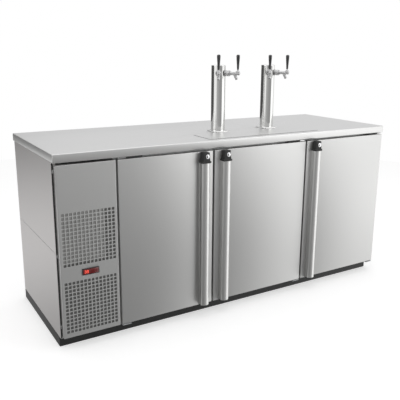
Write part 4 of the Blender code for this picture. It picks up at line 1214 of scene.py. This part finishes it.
@dataclass
class Door:
    """One door: its outer skin, its liner, its gasket and its handle."""

    number: int
    groove_side: float
    edge_rounding: float = 0.0022
    liner_rounding: float = 0.014
    liner_inset: float = 0.020
    skin_depth: float = 0.028
    gasket_width: float = 0.018
    foot: float = 0.006
    foot_edge: float = 0.0015
    lip: float = 0.020
    lip_edge: float = 0.0012
    lip_step: float = 0.0008
    groove_depth: float = 0.018
    groove_rounding: float = 0.004
    cap: float = 0.004
    gasket: Stops = (
        (0, 0), (0.02, 0.35), (0.14, 0.5), (0.08, 0.7), (0.16, 1), (0.45, 1), (0.5, 0.8),
        (0.55, 1), (0.84, 1), (0.92, 0.7), (0.86, 0.5), (0.98, 0.35), (1, 0),
    )  # fmt: skip

    def build(self) -> None:
        """Build the door's pieces."""
        self.body = f"door_{self.number}"
        self.panel = f"door_panel_{self.number}"
        self.low, self.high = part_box(self.panel)
        self.rear = self.low.y + self.skin_depth
        skin = Shape().box(self.low, (self.high.x, self.rear, self.high.z))
        skin.bevel(self.edge_rounding, 4)
        skin.finish(f"door_skin_{self.number}", [FRONT_STEEL], self.panel, self.body)
        self.build_liner()
        self.build_gasket()
        self.build_handle()

    def build_liner(self) -> None:
        """Build the moulded inner face, with rounded corners and a sunk field."""
        low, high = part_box(f"door_gasket_{self.number}")
        reach = self.gasket_width + self.liner_inset
        start = (low.x + reach, self.rear - 0.001, low.z + reach)
        shape = Shape().box(start, (high.x - reach, self.high.y, high.z - reach))
        back = max(shape.mesh.faces, key=lambda face: face.calc_center_median().y)
        shape.inset(back, 0.030).inset(back, 0.008, -0.006)
        shape.bevel(self.liner_rounding, 5, along(Y)).bevel(0.003, 3, angle=math.radians(20))
        shape.finish(f"door_liner_{self.number}", [LINER], self.panel, self.body)

    def build_gasket(self) -> None:
        """Build the ribbed magnetic gasket."""
        node = f"door_gasket_{self.number}"
        low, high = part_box(node)
        wide, deep = self.gasket_width, high.y - low.y
        shape = Shape()
        mesh = shape.mesh
        section = [(low.x + u * wide, low.y + v * deep, low.z + u * wide) for u, v in self.gasket]
        loop = [mesh.verts.new(point) for point in section]
        edges = [mesh.edges.new(pair) for pair in zip(loop, [*loop[1:], loop[0]])]
        for axis in (X, Z, X, Z):
            edges = shape.extended(edges)
            for vert in corners_of(edges):
                vert.co[axis] = low[axis] + high[axis] - vert.co[axis]
        bmesh.ops.remove_doubles(mesh, verts=mesh.verts, dist=MERGE)
        shape.finish(f"{node}_ribbed", [RUBBER], node, self.body)

    def section(self, low: Vector, high: Vector) -> list[Pair]:
        """Give the handle's outline as X and Y, round in front and grooved at one side.

        Args:
            low: The handle's lowest corner.
            high: Its highest corner.

        Returns:
            The outline's corners.
        """
        half, middle = (high.x - low.x) / 2, (high.x + low.x) / 2
        crown = high.y - low.y - self.lip - self.lip_step
        bend, deep = self.groove_rounding, self.groove_depth - half - self.groove_rounding
        points = [(-half, 0.0), (-half, self.foot - self.foot_edge)]
        points += [(self.foot_edge - half, self.foot)]
        points += circle(bend, -90, 0, 6, (deep, self.foot + bend))
        points += circle(bend, 0, 90, 6, (deep, self.lip - bend))
        points += [(self.lip_edge - half, self.lip)]
        front = circle(1.0, 180, 0, 36)
        points += [(half * x, self.lip + self.lip_step + crown * y) for x, y in front]
        points += [(half, 0.0)]
        return [(middle - self.groove_side * x, high.y - y) for x, y in points]

    def build_handle(self) -> None:
        """Build the extruded pull and its end cap."""
        node = f"door_handle_{self.number}"
        low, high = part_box(node)
        outline = self.section(low, high)
        grip = Shape().prism(outline, low.z + self.cap, high.z)
        grip.finish(f"{node}_grip", [ALUMINIUM], node, self.body)
        cap = Shape().prism(outline, low.z, low.z + self.cap)
        cap.bevel(0.0008, 2, lambda edge: ends(edge, Z)[1] < low.z + SKIM)
        cap.finish(f"{node}_cap", [BLACK_PLASTIC], node, self.body)


@dataclass
class Lock:
    """The housing over a handle, and the cylinder that turns in it."""

    number: int
    foot_width: float = 0.042
    top_width: float = 0.034
    flange_height: float = 0.010
    ledge: float = 0.002
    face_radius: float = 0.0115
    plug_radius: float = 0.0068
    barrel_radius: float = 0.0095
    key_slot: Triple = (0.0011, 0.0, 0.0046)

    def build(self) -> None:
        """Build the housing and the cylinder."""
        self.build_housing()
        self.build_cylinder()

    def build_housing(self) -> None:
        """Build the housing, which narrows upwards from a flared foot."""
        node = f"lock_housing_{self.number}"
        low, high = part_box(node)
        middle, half = (low.x + high.x) / 2, self.foot_width / 2
        foot = low.z + self.flange_height / 2
        start = (middle - half, low.y + self.ledge, foot)
        shape = Shape().box(start, (middle + half, high.y, high.z))
        top = [vert for vert in shape.last if vert.co.z > foot + MERGE]
        narrow = (self.top_width / self.foot_width, 1.0, 1.0)
        centre = Matrix.Translation((-middle, 0.0, 0.0))
        bmesh.ops.scale(shape.mesh, vec=narrow, verts=top, space=centre)
        shape.bevel(0.004, 5, lambda edge: ends(edge, Z)[1] > foot + MERGE)
        flange = set(shape.box(low, (high.x, high.y, low.z + self.flange_height)).last)
        shape.bevel(0.0025, 4, lambda edge: flange.issuperset(edge.verts))
        shape.finish(f"{node}_shell", [BLACK_PLASTIC], node, f"door_{self.number}")

    def build_cylinder(self) -> None:
        """Build the chrome face with its raised ring, plug and key slot."""
        node = f"lock_cylinder_{self.number}"
        low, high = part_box(node)
        middle = Vector(((low.x + high.x) / 2, low.y, (low.z + high.z) / 2))
        radius, plug, barrel = self.face_radius, self.plug_radius, self.barrel_radius
        deep = high.y - low.y
        profile = [(0.0009, 0.0), (0.0009, plug), (0.0012, plug + 0.0006)]
        profile += [(0.0012, radius - 0.0030), (0.0, radius - 0.0020), (0.0, radius - 0.0008)]
        profile += [(0.0006, radius), (0.002, radius), (0.002, barrel), (deep, barrel), (deep, 0.0)]
        shape = Shape().turned(profile, middle, REARWARD, sides=64)
        # Painted shade: the key slot is a black box set into the plug's face, standing for the dark
        # inside of the slot.
        slot = Vector(self.key_slot)
        start = middle + REARWARD * 0.0007
        shape.box(start - slot, start + slot + REARWARD * 0.002, slot=1)
        shape.finish(f"{node}_face", [LOCK_CHROME, BLACK_PLASTIC], node, f"lock_{self.number}")


@dataclass
class Hinge:
    """The plates and pins above and below one door."""

    number: int
    inward: float
    bare_length: float = 0.038
    plate: float = 0.006
    pin_radius: float = 0.004
    pin_inset: float = 0.010
    pin_y: float = -0.3345
    arm_inset: float = 0.0008
    arm_recess: float = 0.0012

    def build(self) -> None:
        """Build the lower plate, and the upper arm with a black cover over most of it, whose black
        also paints the shade under the worktop.
        """
        node = f"hinge_top_{self.number}"
        low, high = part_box(node)
        foot = high.z - self.plate
        edge = low.x if self.inward > 0 else high.x
        pin = (edge + self.inward * self.pin_inset, self.pin_y)
        thin = self.arm_inset
        start = (low.x, low.y + self.arm_recess, foot + thin)
        arm = Shape().box(start, (high.x, high.y, high.z - thin))
        arm.bevel(0.008, 4, along(Z)).bevel(0.0006, 2)
        arm.rod((*pin, low.z), (*pin, high.z - 0.001), self.pin_radius, sides=24)
        arm.finish(f"{node}_arm", [SCREW_ZINC], node)
        # The black cover's dark colour also paints the shade that falls under the worktop here.
        left, right = sorted((edge + self.inward * self.bare_length, low.x + high.x - edge))
        cover = Shape().box((left, low.y, foot), (right, high.y, high.z)).bevel(0.0012, 2)
        cover.finish(f"{node}_cover", [BLACK_PLASTIC], node)
        refined(f"hinge_bottom_{self.number}", GALVANISED, bevel=0.0008)


@dataclass
class Worktop:
    """The worktop, the drip tray and its grate."""

    lip: float = 0.0095
    corner: float = 0.012
    sheet: float = 0.0010
    well_depth: float = 0.0222
    strainer_radius: float = 0.019
    spigot_radius: float = 0.010
    spigot_bore: float = 0.0076
    drain_holes: int = 8
    grip_insets: Pair = (0.022, 0.010)
    grip_margin: float = 0.12

    def build(self) -> None:
        """Build the worktop's pieces."""
        Shape("worktop", flatten=False).finish("worktop_skin", [WORKTOP_STEEL], "worktop")
        self.build_tray()
        self.build_drain()
        node, steel_and_painted_shade = "drip_grate", [TRAY_STEEL, TRAY_PAINTED_SHADE]
        grate = Shape(node, flatten=False)
        # The slot walls take the painted shade; the top faces keep the plain tray steel.
        grate.finish("drip_grate_plate", steel_and_painted_shade, node, node, rule=self.upright)
        self.build_grip()

    @staticmethod
    def upright(face: Face) -> int:
        """Give the walls of the grate's slots the painted shade's slot, a near-black steel for the
        dim light inside the slots.
        """
        return int(abs(face.normal.z) < FACING)

    def build_grip(self) -> None:
        """Build the dark finger grip at the grate's right end."""
        low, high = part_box("drip_grate")
        margin = (high.y - low.y) * self.grip_margin
        far, near = self.grip_insets
        start = (high.x - far, low.y + margin, high.z - 0.0005)
        grip = Shape().box(start, (high.x - near, high.y - margin, high.z + 0.0003))
        grip.bevel(0.005, 4, along(Z)).finish("grate_grip", [BLACK_PLASTIC], body="drip_grate")

    def build_tray(self) -> None:
        """Build the pressed tray: a rounded rim round a rounded well."""
        low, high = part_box("drip_tray")
        shape = Shape()
        mesh = shape.mesh
        corners = [(low.x, low.y), (high.x, low.y), (high.x, high.y), (low.x, high.y)]
        face = mesh.faces.new([mesh.verts.new((x, y, high.z)) for x, y in corners])
        mesh.normal_update()
        shape.rounded(list(face.verts), self.corner, 5, Affects.CORNERS)
        face = mesh.faces[:][0]
        shape.inset(face, self.lip).drawn(face, -self.well_depth)
        shape.bevel(0.0035, 4, lambda edge: ends(edge, Z)[1] < high.z - 0.02)
        shape.bevel(0.0008, 2, lambda edge: ends(edge, Z)[0] > high.z - 0.001)
        bmesh.ops.recalc_face_normals(mesh, faces=mesh.faces)
        if next(item for item in mesh.faces if abs(item.normal.z) > 0.9).normal.z < 0:
            bmesh.ops.reverse_faces(mesh, faces=mesh.faces)
        # The well below the rim takes the painted shade, a near-black steel for the dim light
        # inside it.
        shape.finish(
            "drip_tray_pressing",
            [TRAY_STEEL, TRAY_PAINTED_SHADE],
            "drip_tray",
            sheet=self.sheet,
            rule=lambda face: int(face.calc_center_median().z < high.z - 0.0005),
        )

    def build_drain(self) -> None:
        """Build the strainer in the tray's floor and the spigot below."""
        low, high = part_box("drip_tray")
        middle = foot_of(low, high)
        middle.z = high.z - self.well_depth
        wide, end = self.strainer_radius, low.z - middle.z
        profile = [(0.0001, 0.0), (0.0001, wide), (0.0006, wide), (0.0010, wide - 0.003)]
        profile += [(0.0004, wide - 0.007), (0.0004, 0.0)]
        shape = Shape().turned(profile, middle)
        bore, outside = self.spigot_bore, self.spigot_radius
        spigot = [(-0.0012, bore), (-0.0012, outside), (end, outside), (end, bore), (-0.0012, bore)]
        shape.turned(spigot, middle, sides=32)
        # Painted shade: each drain hole is a thin black disc on the strainer, standing for the dark
        # inside of the hole.
        for x, y in circle(0.0075, 0.0, 360.0, self.drain_holes)[:-1]:
            spot = middle + Vector((x, y, 0.0004))
            shape.rod(spot, spot + UP * 0.0002, 0.0014, sides=12, slot=1)
        shape.finish("tray_drain", [TRAY_STEEL, BLACK_PLASTIC], "drip_tray")


@dataclass
class Tower:
    """One beer tower with its flange and cap."""

    number: int
    radius: float = 0.038
    wall: float = 0.002
    weld: float = 0.0022
    flange_thickness: float = 0.004
    flange_corner: float = 0.010
    screw_reach: float = 0.037
    cap_height: float = 0.005
    cap_bend: float = 0.002
    screw: Screw = field(default_factory=lambda: Screw(0.0042, 0.0018, 0.0009))

    def build(self) -> None:
        """Build the column, the flange and the cap."""
        node = f"tower_column_{self.number}"
        low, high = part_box(node)
        foot, top = foot_of(low, high), high.z - low.z
        radius, inner = self.radius, self.radius - self.wall
        tube = [(0.001, inner), (top, inner), (top, radius), (0.009, radius), (0.006, radius)]
        tube += [(0.0048, radius + 0.0008), (0.0040, radius + self.weld)]
        tube += [(0.001, radius + self.weld), (0.001, inner)]
        Shape().turned(tube, foot, sides=96).finish(f"{node}_tube", [TOWER_STEEL], node)
        flange = Shape().box(low, (high.x, high.y, low.z + self.flange_thickness))
        flange.bevel(self.flange_corner, 5, along(Z))
        flange.bevel(0.0012, 3, lambda edge: ends(edge, Z)[0] > low.z + 0.003)
        for x in (-self.screw_reach, self.screw_reach):
            for y in (-self.screw_reach, self.screw_reach):
                self.screw.add(flange, foot + Vector((x, y, self.flange_thickness)), UP, slot=1)
        flange.finish(f"tower_flange_{self.number}", [TOWER_STEEL, SCREW_ZINC], node)
        self.build_cap(foot)

    def build_cap(self, foot: Vector) -> None:
        """Build the cap with its rolled edge.

        Args:
            foot: The middle of the column's foot.
        """
        node = f"tower_cap_{self.number}"
        low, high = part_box(node)
        top, radius, bend = high.z - low.z, self.radius, self.cap_bend
        seat, inner = top - self.cap_height, radius - self.wall - 0.0003
        profile = [(0.0, 0.0), (0.0, inner - 0.001), (0.001, inner), (seat, inner), (seat, radius)]
        rolled = circle(bend, 0, -90, 6, (0.0, bend))
        profile += [(top - reach, radius - bend + out) for out, reach in rolled]
        profile += [(top - 0.0002, radius * 0.55), (top - 0.0002, 0.0)]
        shape = Shape().turned(profile, (foot.x, foot.y, low.z), sides=96)
        shape.finish(f"{node}_dome", [TOWER_STEEL], node)


@dataclass
class Faucet:
    """One faucet with its shank, collar, coupling nut, spout and tap handle."""

    number: int
    tower: Vector
    side: float
    angle: float = math.radians(32.5)
    axis_z: float = 1.232
    seat: float = 0.0383
    body_start: float = 0.0663
    body_end: float = 0.124
    body_radius: float = 0.0088
    nose: float = 0.006
    lever_reach: float = 0.112
    spout_root: float = 0.092
    spout_tip: float = 0.106
    spout_drop: float = 0.031
    ball_rise: float = 0.011
    ball_radius: float = 0.0070
    knob_start: float = 0.0095
    ribs: int = 28
    rib_height: float = 0.0009
    # Profiles are pairs of a distance along the axis and a radius.
    shank: Stops = (
        (-0.0184, 0.0), (-0.0184, 0.0105), (-0.0110, 0.0105), (-0.0110, 0.0118), (-0.0045, 0.0118),
        (-0.0045, 0.0105), (0.0, 0.0105), (0.0, 0.0165), (0.0008, 0.017), (0.0022, 0.017),
        (0.0036, 0.0158), (0.0040, 0.0140), (0.0040, 0.0118), (0.0065, 0.0112), (0.0080, 0.0112),
        (0.0080, 0.0),
    )  # fmt: skip
    nut: Stops = (
        (0.0070, 0.0), (0.0070, 0.0138), (0.0082, 0.0146), (0.0100, 0.0146), (0.0106, 0.0140),
    )  # fmt: skip
    # The nut's far part is measured from its far end.
    nut_end: Stops = (
        (-0.0030, 0.0140), (-0.0024, 0.0146), (-0.0012, 0.0146), (0.0, 0.0134), (0.0, 0.0),
    )  # fmt: skip
    barrel: Stops = (
        (0.0, 0.0), (0.0, 0.0102), (0.003, 0.0106), (0.0055, 0.0100), (0.0075, 0.0086),
        (0.024, 0.0084), (0.030, 0.0088),
    )  # fmt: skip
    bonnet: Stops = (
        (-0.003, 0.0), (-0.003, 0.0085), (0.0035, 0.0090), (0.0045, 0.0104), (0.0105, 0.0104),
        (0.0120, 0.0096), (0.0125, 0.0080), (0.0118, 0.0070), (0.0080, 0.0068), (0.0080, 0.0),
    )  # fmt: skip
    ferrule: Stops = (
        (0.0064, 0.0031), (0.0080, 0.0031), (0.0084, 0.0044), (0.0092, 0.0048), (0.0098, 0.0044),
        (0.0098, 0.0),
    )  # fmt: skip
    # The knob's distances are shares of its length.
    knob: Stops = (
        (0.25, 0.0062), (0.5, 0.0075), (0.75, 0.0089), (0.90, 0.0094), (0.96, 0.0086),
        (0.99, 0.0060), (1.0, 0.0025), (1.0, 0.0),
    )  # fmt: skip

    def __post_init__(self) -> None:
        """Work out the way that the faucet points."""
        turn = self.side * self.angle
        self.out = Vector((math.sin(turn), -math.cos(turn), 0.0))
        self.across = Vector((math.cos(turn), math.sin(turn), 0.0))
        self.middle = Vector((self.tower.x, self.tower.y, self.axis_z))

    def at(self, reach: float, rise: float = 0.0) -> Vector:
        """Give the point so far out from the tower's axis and above the faucet's."""
        return self.middle + self.out * reach + UP * rise

    def build(self) -> None:
        """Build the faucet's pieces."""
        self.build_shank()
        self.build_body()
        self.build_lever()

    def build_shank(self) -> None:
        """Build the shank: inner nut, wall collar and ribbed coupling nut."""
        node = f"faucet_shank_{self.number}"
        seat = self.at(self.seat)
        end = self.body_start - 0.0003 - self.seat
        shape = Shape().turned(self.shank, seat, self.out)
        nut = [*self.nut, *((end + reach, radius) for reach, radius in self.nut_end)]
        for vert in shape.turned(nut, seat, self.out, sides=2 * self.ribs).last:
            reach = vert.co - seat
            deep = reach.dot(self.out)
            spoke = reach - self.out * deep
            turn = math.atan2(spoke.dot(UP), spoke.dot(self.across)) / math.tau
            ribbed = 0.0104 < deep < end - 0.0028 and spoke.length > 0.01
            if ribbed and round(turn * 2 * self.ribs) % 2:
                vert.co += spoke.normalized() * self.rib_height
        shape.finish(f"{node}_nut", [FAUCET_STEEL], node)

    def build_body(self) -> None:
        """Build the barrel, the bonnet and the hollow, tapering spout that bends down."""
        node = f"faucet_body_{self.number}"
        barrel = [(self.body_start + reach, radius) for reach, radius in self.barrel]
        nose = self.body_end - self.nose
        rounding = circle(1.0, 0, 90, 6)
        barrel += [(nose + self.nose * y, self.body_radius * x) for x, y in rounding]
        shape = Shape().turned(barrel, self.at(0.0), self.out)
        shape.turned(self.bonnet, self.at(self.lever_reach), sides=40)
        root = self.at(self.spout_root, -0.001)
        span = self.at(self.spout_tip, -self.spout_drop) - root
        length = span.length
        spout = [(0.0, 0.0), (0.0, 0.0082), (length * 0.35, 0.0078), (length * 0.7, 0.0072)]
        spout += [(length - 0.001, 0.0070), (length, 0.0064), (length - 0.0004, 0.0050)]
        spout += [(length - 0.012, 0.0042), (length - 0.012, 0.0)]
        shape.turned(spout, root, span, sides=32)
        shape.finish(f"{node}_cast", [FAUCET_STEEL], node)

    def build_lever(self) -> None:
        """Build the ball, the stem with its ferrule, and the knob."""
        node, body = f"tap_handle_{self.number}", f"tap_{self.number}"
        centre = self.at(self.lever_reach, self.ball_rise)
        ball = circle(self.ball_radius, -75, 60, 9)
        stem = [(-self.ball_radius, 0.0), *((y, x) for x, y in ball), *self.ferrule]
        lever = Shape().turned(stem, centre, sides=32)
        lever.finish(f"{node}_stem", [FAUCET_STEEL], node, body)
        start = self.knob_start
        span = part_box(node)[1].z - centre.z - start
        knob = [(start, 0.0), (start, 0.0044), (start + 0.001, 0.0052)]
        knob += [(start + span * share, radius) for share, radius in self.knob]
        Shape().turned(knob, centre, sides=40).finish(f"{node}_knob", [BLACK_GLOSS], node, body)


@dataclass
class MachineBay:
    """The compressor, the condenser with its fan, and the evaporator with its fan."""

    fins: int = 54
    fin_thickness: float = 0.0006
    fin_inset: float = 0.006
    fin_margin: float = 0.001
    end_plate: float = 0.0015
    end_insets: Pair = (0.004, 0.0055)
    tube_radius: float = 0.0048
    tube_inset: float = 0.012
    tube_end: float = 0.003
    bends: int = 5
    shell_radius: float = 0.074
    shell_crown: float = 0.030
    weld: float = 0.003
    plate: float = 0.004
    plate_corner: float = 0.022
    foot_reach: float = 0.076
    terminal_half: Pair = (0.026, 0.012)
    terminal_span: Pair = (0.040, 0.095)

    def build(self) -> None:
        """Build the refrigeration pieces."""
        refined("condenser_fan_frame", GALVANISED, bevel=0.0006)
        refined("condenser_fan", BLACK_PLASTIC, bevel=0.0006, body="condenser_fan")
        refined("evaporator_fan", BLACK_PLASTIC, bevel=0.0, body="evaporator_fan")
        refined("evaporator_housing", LINER, bevel=0.0015)
        self.build_compressor()
        self.build_condenser()

    def build_compressor(self) -> None:
        """Build the compressor's plate, feet, welded shell and terminal box."""
        low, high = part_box("compressor")
        foot = foot_of(low, high)
        plate = Shape().box(low, (high.x, high.y, low.z + self.plate))
        plate.bevel(self.plate_corner, 5, along(Z)).bevel(0.0008, 2)
        for x in (-self.foot_reach, self.foot_reach):
            for y in (-self.foot_reach, self.foot_reach):
                spot = foot + Vector((x, y, self.plate))
                plate.rod(spot, spot + UP * 0.008, 0.010, sides=24, slot=1)
                plate.rod(spot + UP * 0.008, spot + UP * 0.013, 0.006, sides=6)
        plate.finish("compressor_plate", [GALVANISED, RUBBER], "compressor")
        radius, seam = self.shell_radius, self.shell_radius + self.weld
        crown, bend = high.z - low.z - self.shell_crown, self.shell_crown
        profile = [(0.005, 0.0), (0.005, radius * 0.78), (0.016, radius * 0.95), (0.030, radius)]
        profile += [(0.078, radius), (0.080, seam), (0.086, seam), (0.088, radius)]
        profile += [(crown + bend * y, max(radius * x, 0.0)) for x, y in circle(1.0, 0, 90, 7)]
        shell = Shape().turned(profile, foot, sides=72)
        half, deep = self.terminal_half
        front = foot.y - radius
        bottom, top = (low.z + rise for rise in self.terminal_span)
        shell.box((foot.x - half, front - deep, bottom), (foot.x + half, front + deep, top))
        shell.bevel(0.004, 3, lambda edge: ends(edge, Y)[1] < front + deep + 0.001)
        shell.finish("compressor_shell", [PAINT], "compressor")

    def build_condenser(self) -> None:
        """Build the finned block with its end plates and tubes."""
        node = "condenser_coil"
        low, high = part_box(node)
        block, frame, tubes = Shape(), Shape(), Shape()
        width, half = high.x - low.x - 2 * self.fin_inset, self.fin_thickness / 2
        margin = Vector.Fill(2, self.fin_margin)
        start, end = low.yz + margin, high.yz - margin
        for step in range(self.fins):
            x = low.x + self.fin_inset + width * (step + 0.5) / self.fins
            block.box((x - half, *start), (x + half, *end))
        block.finish("condenser_fins", [FINS], node)
        for x in (low.x + self.end_insets[0], high.x - self.end_insets[1]):
            frame.box((x, low.y, low.z), (x + self.end_plate, high.y, high.z))
        frame.bevel(0.0004, 1).finish("condenser_end_plates", [GALVANISED], node)
        rows = 2 * self.bends
        for row in range(rows):
            z = low.z + (high.z - low.z) * (row + 0.5) / rows
            for y in (low.y + self.tube_inset, high.y - self.tube_inset):
                left, right = (low.x + self.tube_end, y, z), (high.x - self.tube_end, y, z)
                tubes.rod(left, right, self.tube_radius, sides=16)
        tubes.finish("condenser_tubes", [COPPER], node)


@dataclass
class Studio:
    """The floor, the lamps, the surroundings and the camera."""

    place: Triple = (-1.6492, -2.6511, 1.3514)
    azimuth: float = 31.56
    down: float = 13.95
    roll: float = 0.551
    lens: float = 50.29
    shift: Pair = (-0.0175, -0.02825)
    floor_radius: float = 4.5
    floor_drop: float = 0.0005
    floor_glow: float = 0.50
    floor_tone: float = 0.72
    sky: float = 0.60
    ceiling: tuple[float, ...] = (0.85, 0.85, 0.86, 1.0)
    # Azimuths in degrees from +X, and how bright metal sees the walls and the ground there.
    walls: Stops = (
        (-180, 1.10), (-153, 1.10), (-146, 0.55), (-110, 0.40), (-80, 0.34), (-67, 0.34),
        (-61, 0.70), (-54, 1.50), (-22, 1.50), (-12, 1.00), (24, 1.00), (34, 0.85), (54, 0.70),
        (62, 0.09), (158, 0.09), (166, 1.10), (180, 1.10),
    )  # fmt: skip
    ground: Stops = (
        (-180, 0.25), (-165, 0.18), (-100, 0.20), (-84, 0.50), (-74, 0.40), (-67, 0.20),
        (-60, 0.27), (-55, 0.52), (-50, 0.98), (-45, 1.60), (-40, 1.95), (-20, 1.95), (40, 1.10),
        (80, 0.90), (180, 0.90),
    )  # fmt: skip
    # Where the ground behind the cooler's left side shows in it, and its tone by steepness.
    yard: Stops = ((-180, 0.0), (78, 0.0), (92, 1.0), (118, 1.0), (140, 0.0), (180, 0.0))
    yard_tones: Stops = (
        (0.0, 0.45), (0.17, 0.50), (0.25, 0.85), (0.32, 1.05), (0.37, 0.85), (0.41, 0.50),
        (0.46, 0.22), (1.0, 0.2),
    )  # fmt: skip
    # Azimuths where the light above the horizon starts low, as the worktop shows it.
    window: Stops = ((-180, 0.0), (18, 0.0), (32, 1.0), (78, 1.0), (88, 0.0), (180, 0.0))
    # How steeply down the ground starts and how it falls off, and how high the light starts.
    horizon: Pair = (0.14, 0.215)
    falloff: Pair = (0.16, 0.46)
    falloff_tones: Pair = (1.0, 0.60)
    early_light: Pair = (0.01, 0.09)
    late_light: Pair = (0.20, 0.36)

    def build(self) -> None:
        """Build the studio."""
        bpy.context.scene.view_settings.view_transform = "Standard"
        self.build_world()
        self.build_floor()
        self.build_lamp("key", (2.6, -3.4, 2.5), (0.2, -0.2, 0.5), 2.4, 26.0)
        self.build_lamp("fill", (-3.6, 0.2, 2.2), (-0.6, 0.0, 0.5), 2.0, 14.0)
        self.build_lamp("top", (0.2, -0.2, 4.0), (0.0, 0.0, 0.9), 3.0, 24.0)
        self.build_camera()

    @staticmethod
    def tones(
        wiring: Wiring, share: Any, stops: Stops, start: float = -180.0, end: float = 180.0
    ) -> Socket:
        """Look tones up along a range.

        Args:
            wiring: The wiring to add to.
            share: Where in the range, from 0 to 1.
            stops: Positions in the range, and their tones.
            start: The range's start.
            end: The range's end.

        Returns:
            The tone's socket.
        """
        ramp = wiring.add("ShaderNodeValToRGB", {0: share})
        marks = ramp.color_ramp.elements
        marks.remove(marks[0])
        for number, (position, tone) in enumerate(stops):
            place = (position - start) / (end - start)
            mark = marks.new(place) if number else marks[0]
            mark.position = place
            mark.color = (*grey(tone / 2), 1.0)
        return wiring.math("MULTIPLY", ramp.outputs["Color"], 2.0)

    def surroundings(self, wiring: Wiring) -> Socket:
        """Work out what metal sees in each direction.

        Args:
            wiring: The world's wiring.

        Returns:
            The tone's socket.
        """
        way = wiring.add("ShaderNodeTexCoord").outputs["Generated"]
        x, y, z = wiring.add("ShaderNodeSeparateXYZ", {0: way}).outputs
        turn = wiring.math("DIVIDE", wiring.math("ARCTAN2", y, x), math.tau)
        share = wiring.math("ADD", turn, 0.5)
        steep = wiring.math("SUBTRACT", 0.0, z)
        walls = self.tones(wiring, share, self.walls)
        fall = wiring.remap(steep, self.falloff, self.falloff_tones, Fall.STRAIGHT)
        ground = wiring.math("MULTIPLY", self.tones(wiring, share, self.ground), fall)
        yard = self.tones(wiring, steep, self.yard_tones, 0.0, 1.0)
        low = wiring.mix(self.tones(wiring, share, self.yard), ground, yard)
        around = wiring.mix(wiring.remap(steep, self.horizon), walls, low)
        window = self.tones(wiring, share, self.window)
        early = wiring.math("MULTIPLY", wiring.remap(z, self.early_light), window)
        above = wiring.math("MAXIMUM", early, wiring.remap(z, self.late_light))
        return wiring.mix(above, around, self.ceiling)

    @staticmethod
    def start(tree: bpy.types.NodeTree) -> tuple[Wiring, Any, Socket]:
        """Empty a tree and find its rays.

        Args:
            tree: The tree.

        Returns:
            Its wiring, the kinds of ray, and whether the camera sees the ray's end directly.
        """
        tree.nodes.clear()
        wiring = Wiring(tree)
        path = wiring.add("ShaderNodeLightPath").outputs
        direct = wiring.math("MAXIMUM", path["Is Camera Ray"], path["Is Transmission Ray"])
        return wiring, path, direct

    def build_world(self) -> None:
        """Light everything softly, show metal the surroundings, and leave the background white."""
        world = bpy.data.worlds.new("studio")
        bpy.context.scene.world = world
        world.use_nodes = True
        wiring, path, direct = self.start(world.node_tree)
        sky = (*grey(self.sky), 1.0)
        seen = wiring.mix(path["Is Glossy Ray"], sky, self.surroundings(wiring))
        colour = wiring.mix(direct, seen, WHITE)
        light = wiring.add("ShaderNodeBackground", {"Color": colour, "Strength": 1.0})
        wiring.add("ShaderNodeOutputWorld", {"Surface": light.outputs[0]})

    def build_floor(self) -> None:
        """Build the white floor, which keeps the cooler's shadow."""
        shape = bmesh.new()
        bmesh.ops.create_circle(shape, cap_ends=True, segments=128, radius=self.floor_radius)
        data = bpy.data.meshes.new("floor")
        shape.to_mesh(data)
        shape.free()
        floor = placed("floor", data)
        floor.location.z = -self.floor_drop
        floor.visible_glossy = False
        made = bpy.data.materials.new("floor_paper")
        made.use_nodes = True
        wiring, _, direct = self.start(made.node_tree)
        glow = wiring.math("MULTIPLY", direct, self.floor_glow)
        tone = (*grey(self.floor_tone), 1.0)
        paper = wiring.add("ShaderNodeBsdfDiffuse", {"Color": tone}).outputs[0]
        light = wiring.add("ShaderNodeEmission", {"Color": WHITE, "Strength": glow}).outputs[0]
        both = wiring.add("ShaderNodeAddShader", {0: paper, 1: light}).outputs[0]
        wiring.add("ShaderNodeOutputMaterial", {"Surface": both})
        data.materials.append(made)

    def build_lamp(
        self, name: str, place: Triple, target: Triple, size: float, power: float
    ) -> None:
        """Build one soft square lamp.

        Args:
            name: The lamp's name.
            place: Where it hangs.
            target: What it faces.
            size: Its side.
            power: Its power in watts.
        """
        data = bpy.data.lights.new(name, "AREA")
        data.shape, data.size, data.energy = "SQUARE", size, power
        lamp = placed(name, data)
        lamp.location = place
        lamp.rotation_euler = (Vector(target) - Vector(place)).to_track_quat("-Z", "Y").to_euler()

    def build_camera(self) -> None:
        """Build the camera at the photograph's view."""
        turn, down, roll = (math.radians(angle) for angle in (self.azimuth, self.down, self.roll))
        ahead = Vector((math.sin(turn), math.cos(turn), 0.0))
        forward = ahead * math.cos(down) - UP * math.sin(down)
        above = ahead * math.sin(down) + UP * math.cos(down)
        right = Vector((math.cos(turn), -math.sin(turn), 0.0))
        side = right * math.cos(roll) + above * math.sin(roll)
        top = above * math.cos(roll) - right * math.sin(roll)
        data = bpy.data.cameras.new("camera")
        data.lens = self.lens
        data.shift_x, data.shift_y = self.shift
        camera = placed("camera", data)
        axes = Matrix((side, top, -forward)).transposed().to_4x4()
        camera.matrix_world = Matrix.Translation(self.place) @ axes
        bpy.context.scene.camera = camera


def main() -> None:
    """Load the frame, build every sub-assembly and set up the studio."""
    logging.basicConfig(level=logging.INFO, format="%(message)s")
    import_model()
    Cabinet().build()
    FrontPanel().build()
    Controller().build()
    for number, inward in ((1, 1.0), (2, -1.0), (3, -1.0)):
        Door(number, groove_side=-inward).build()
        Lock(number).build()
        Hinge(number, inward).build()
    Worktop().build()
    for number in (1, 2):
        Tower(number).build()
        tower = foot_of(*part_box(f"tower_cap_{number}"))
        for step, side in enumerate((-1.0, 1.0)):
            Faucet(2 * number - 1 + step, tower, side).build()
    MachineBay().build()
    Studio().build()


if __name__ == "__main__":
    main()
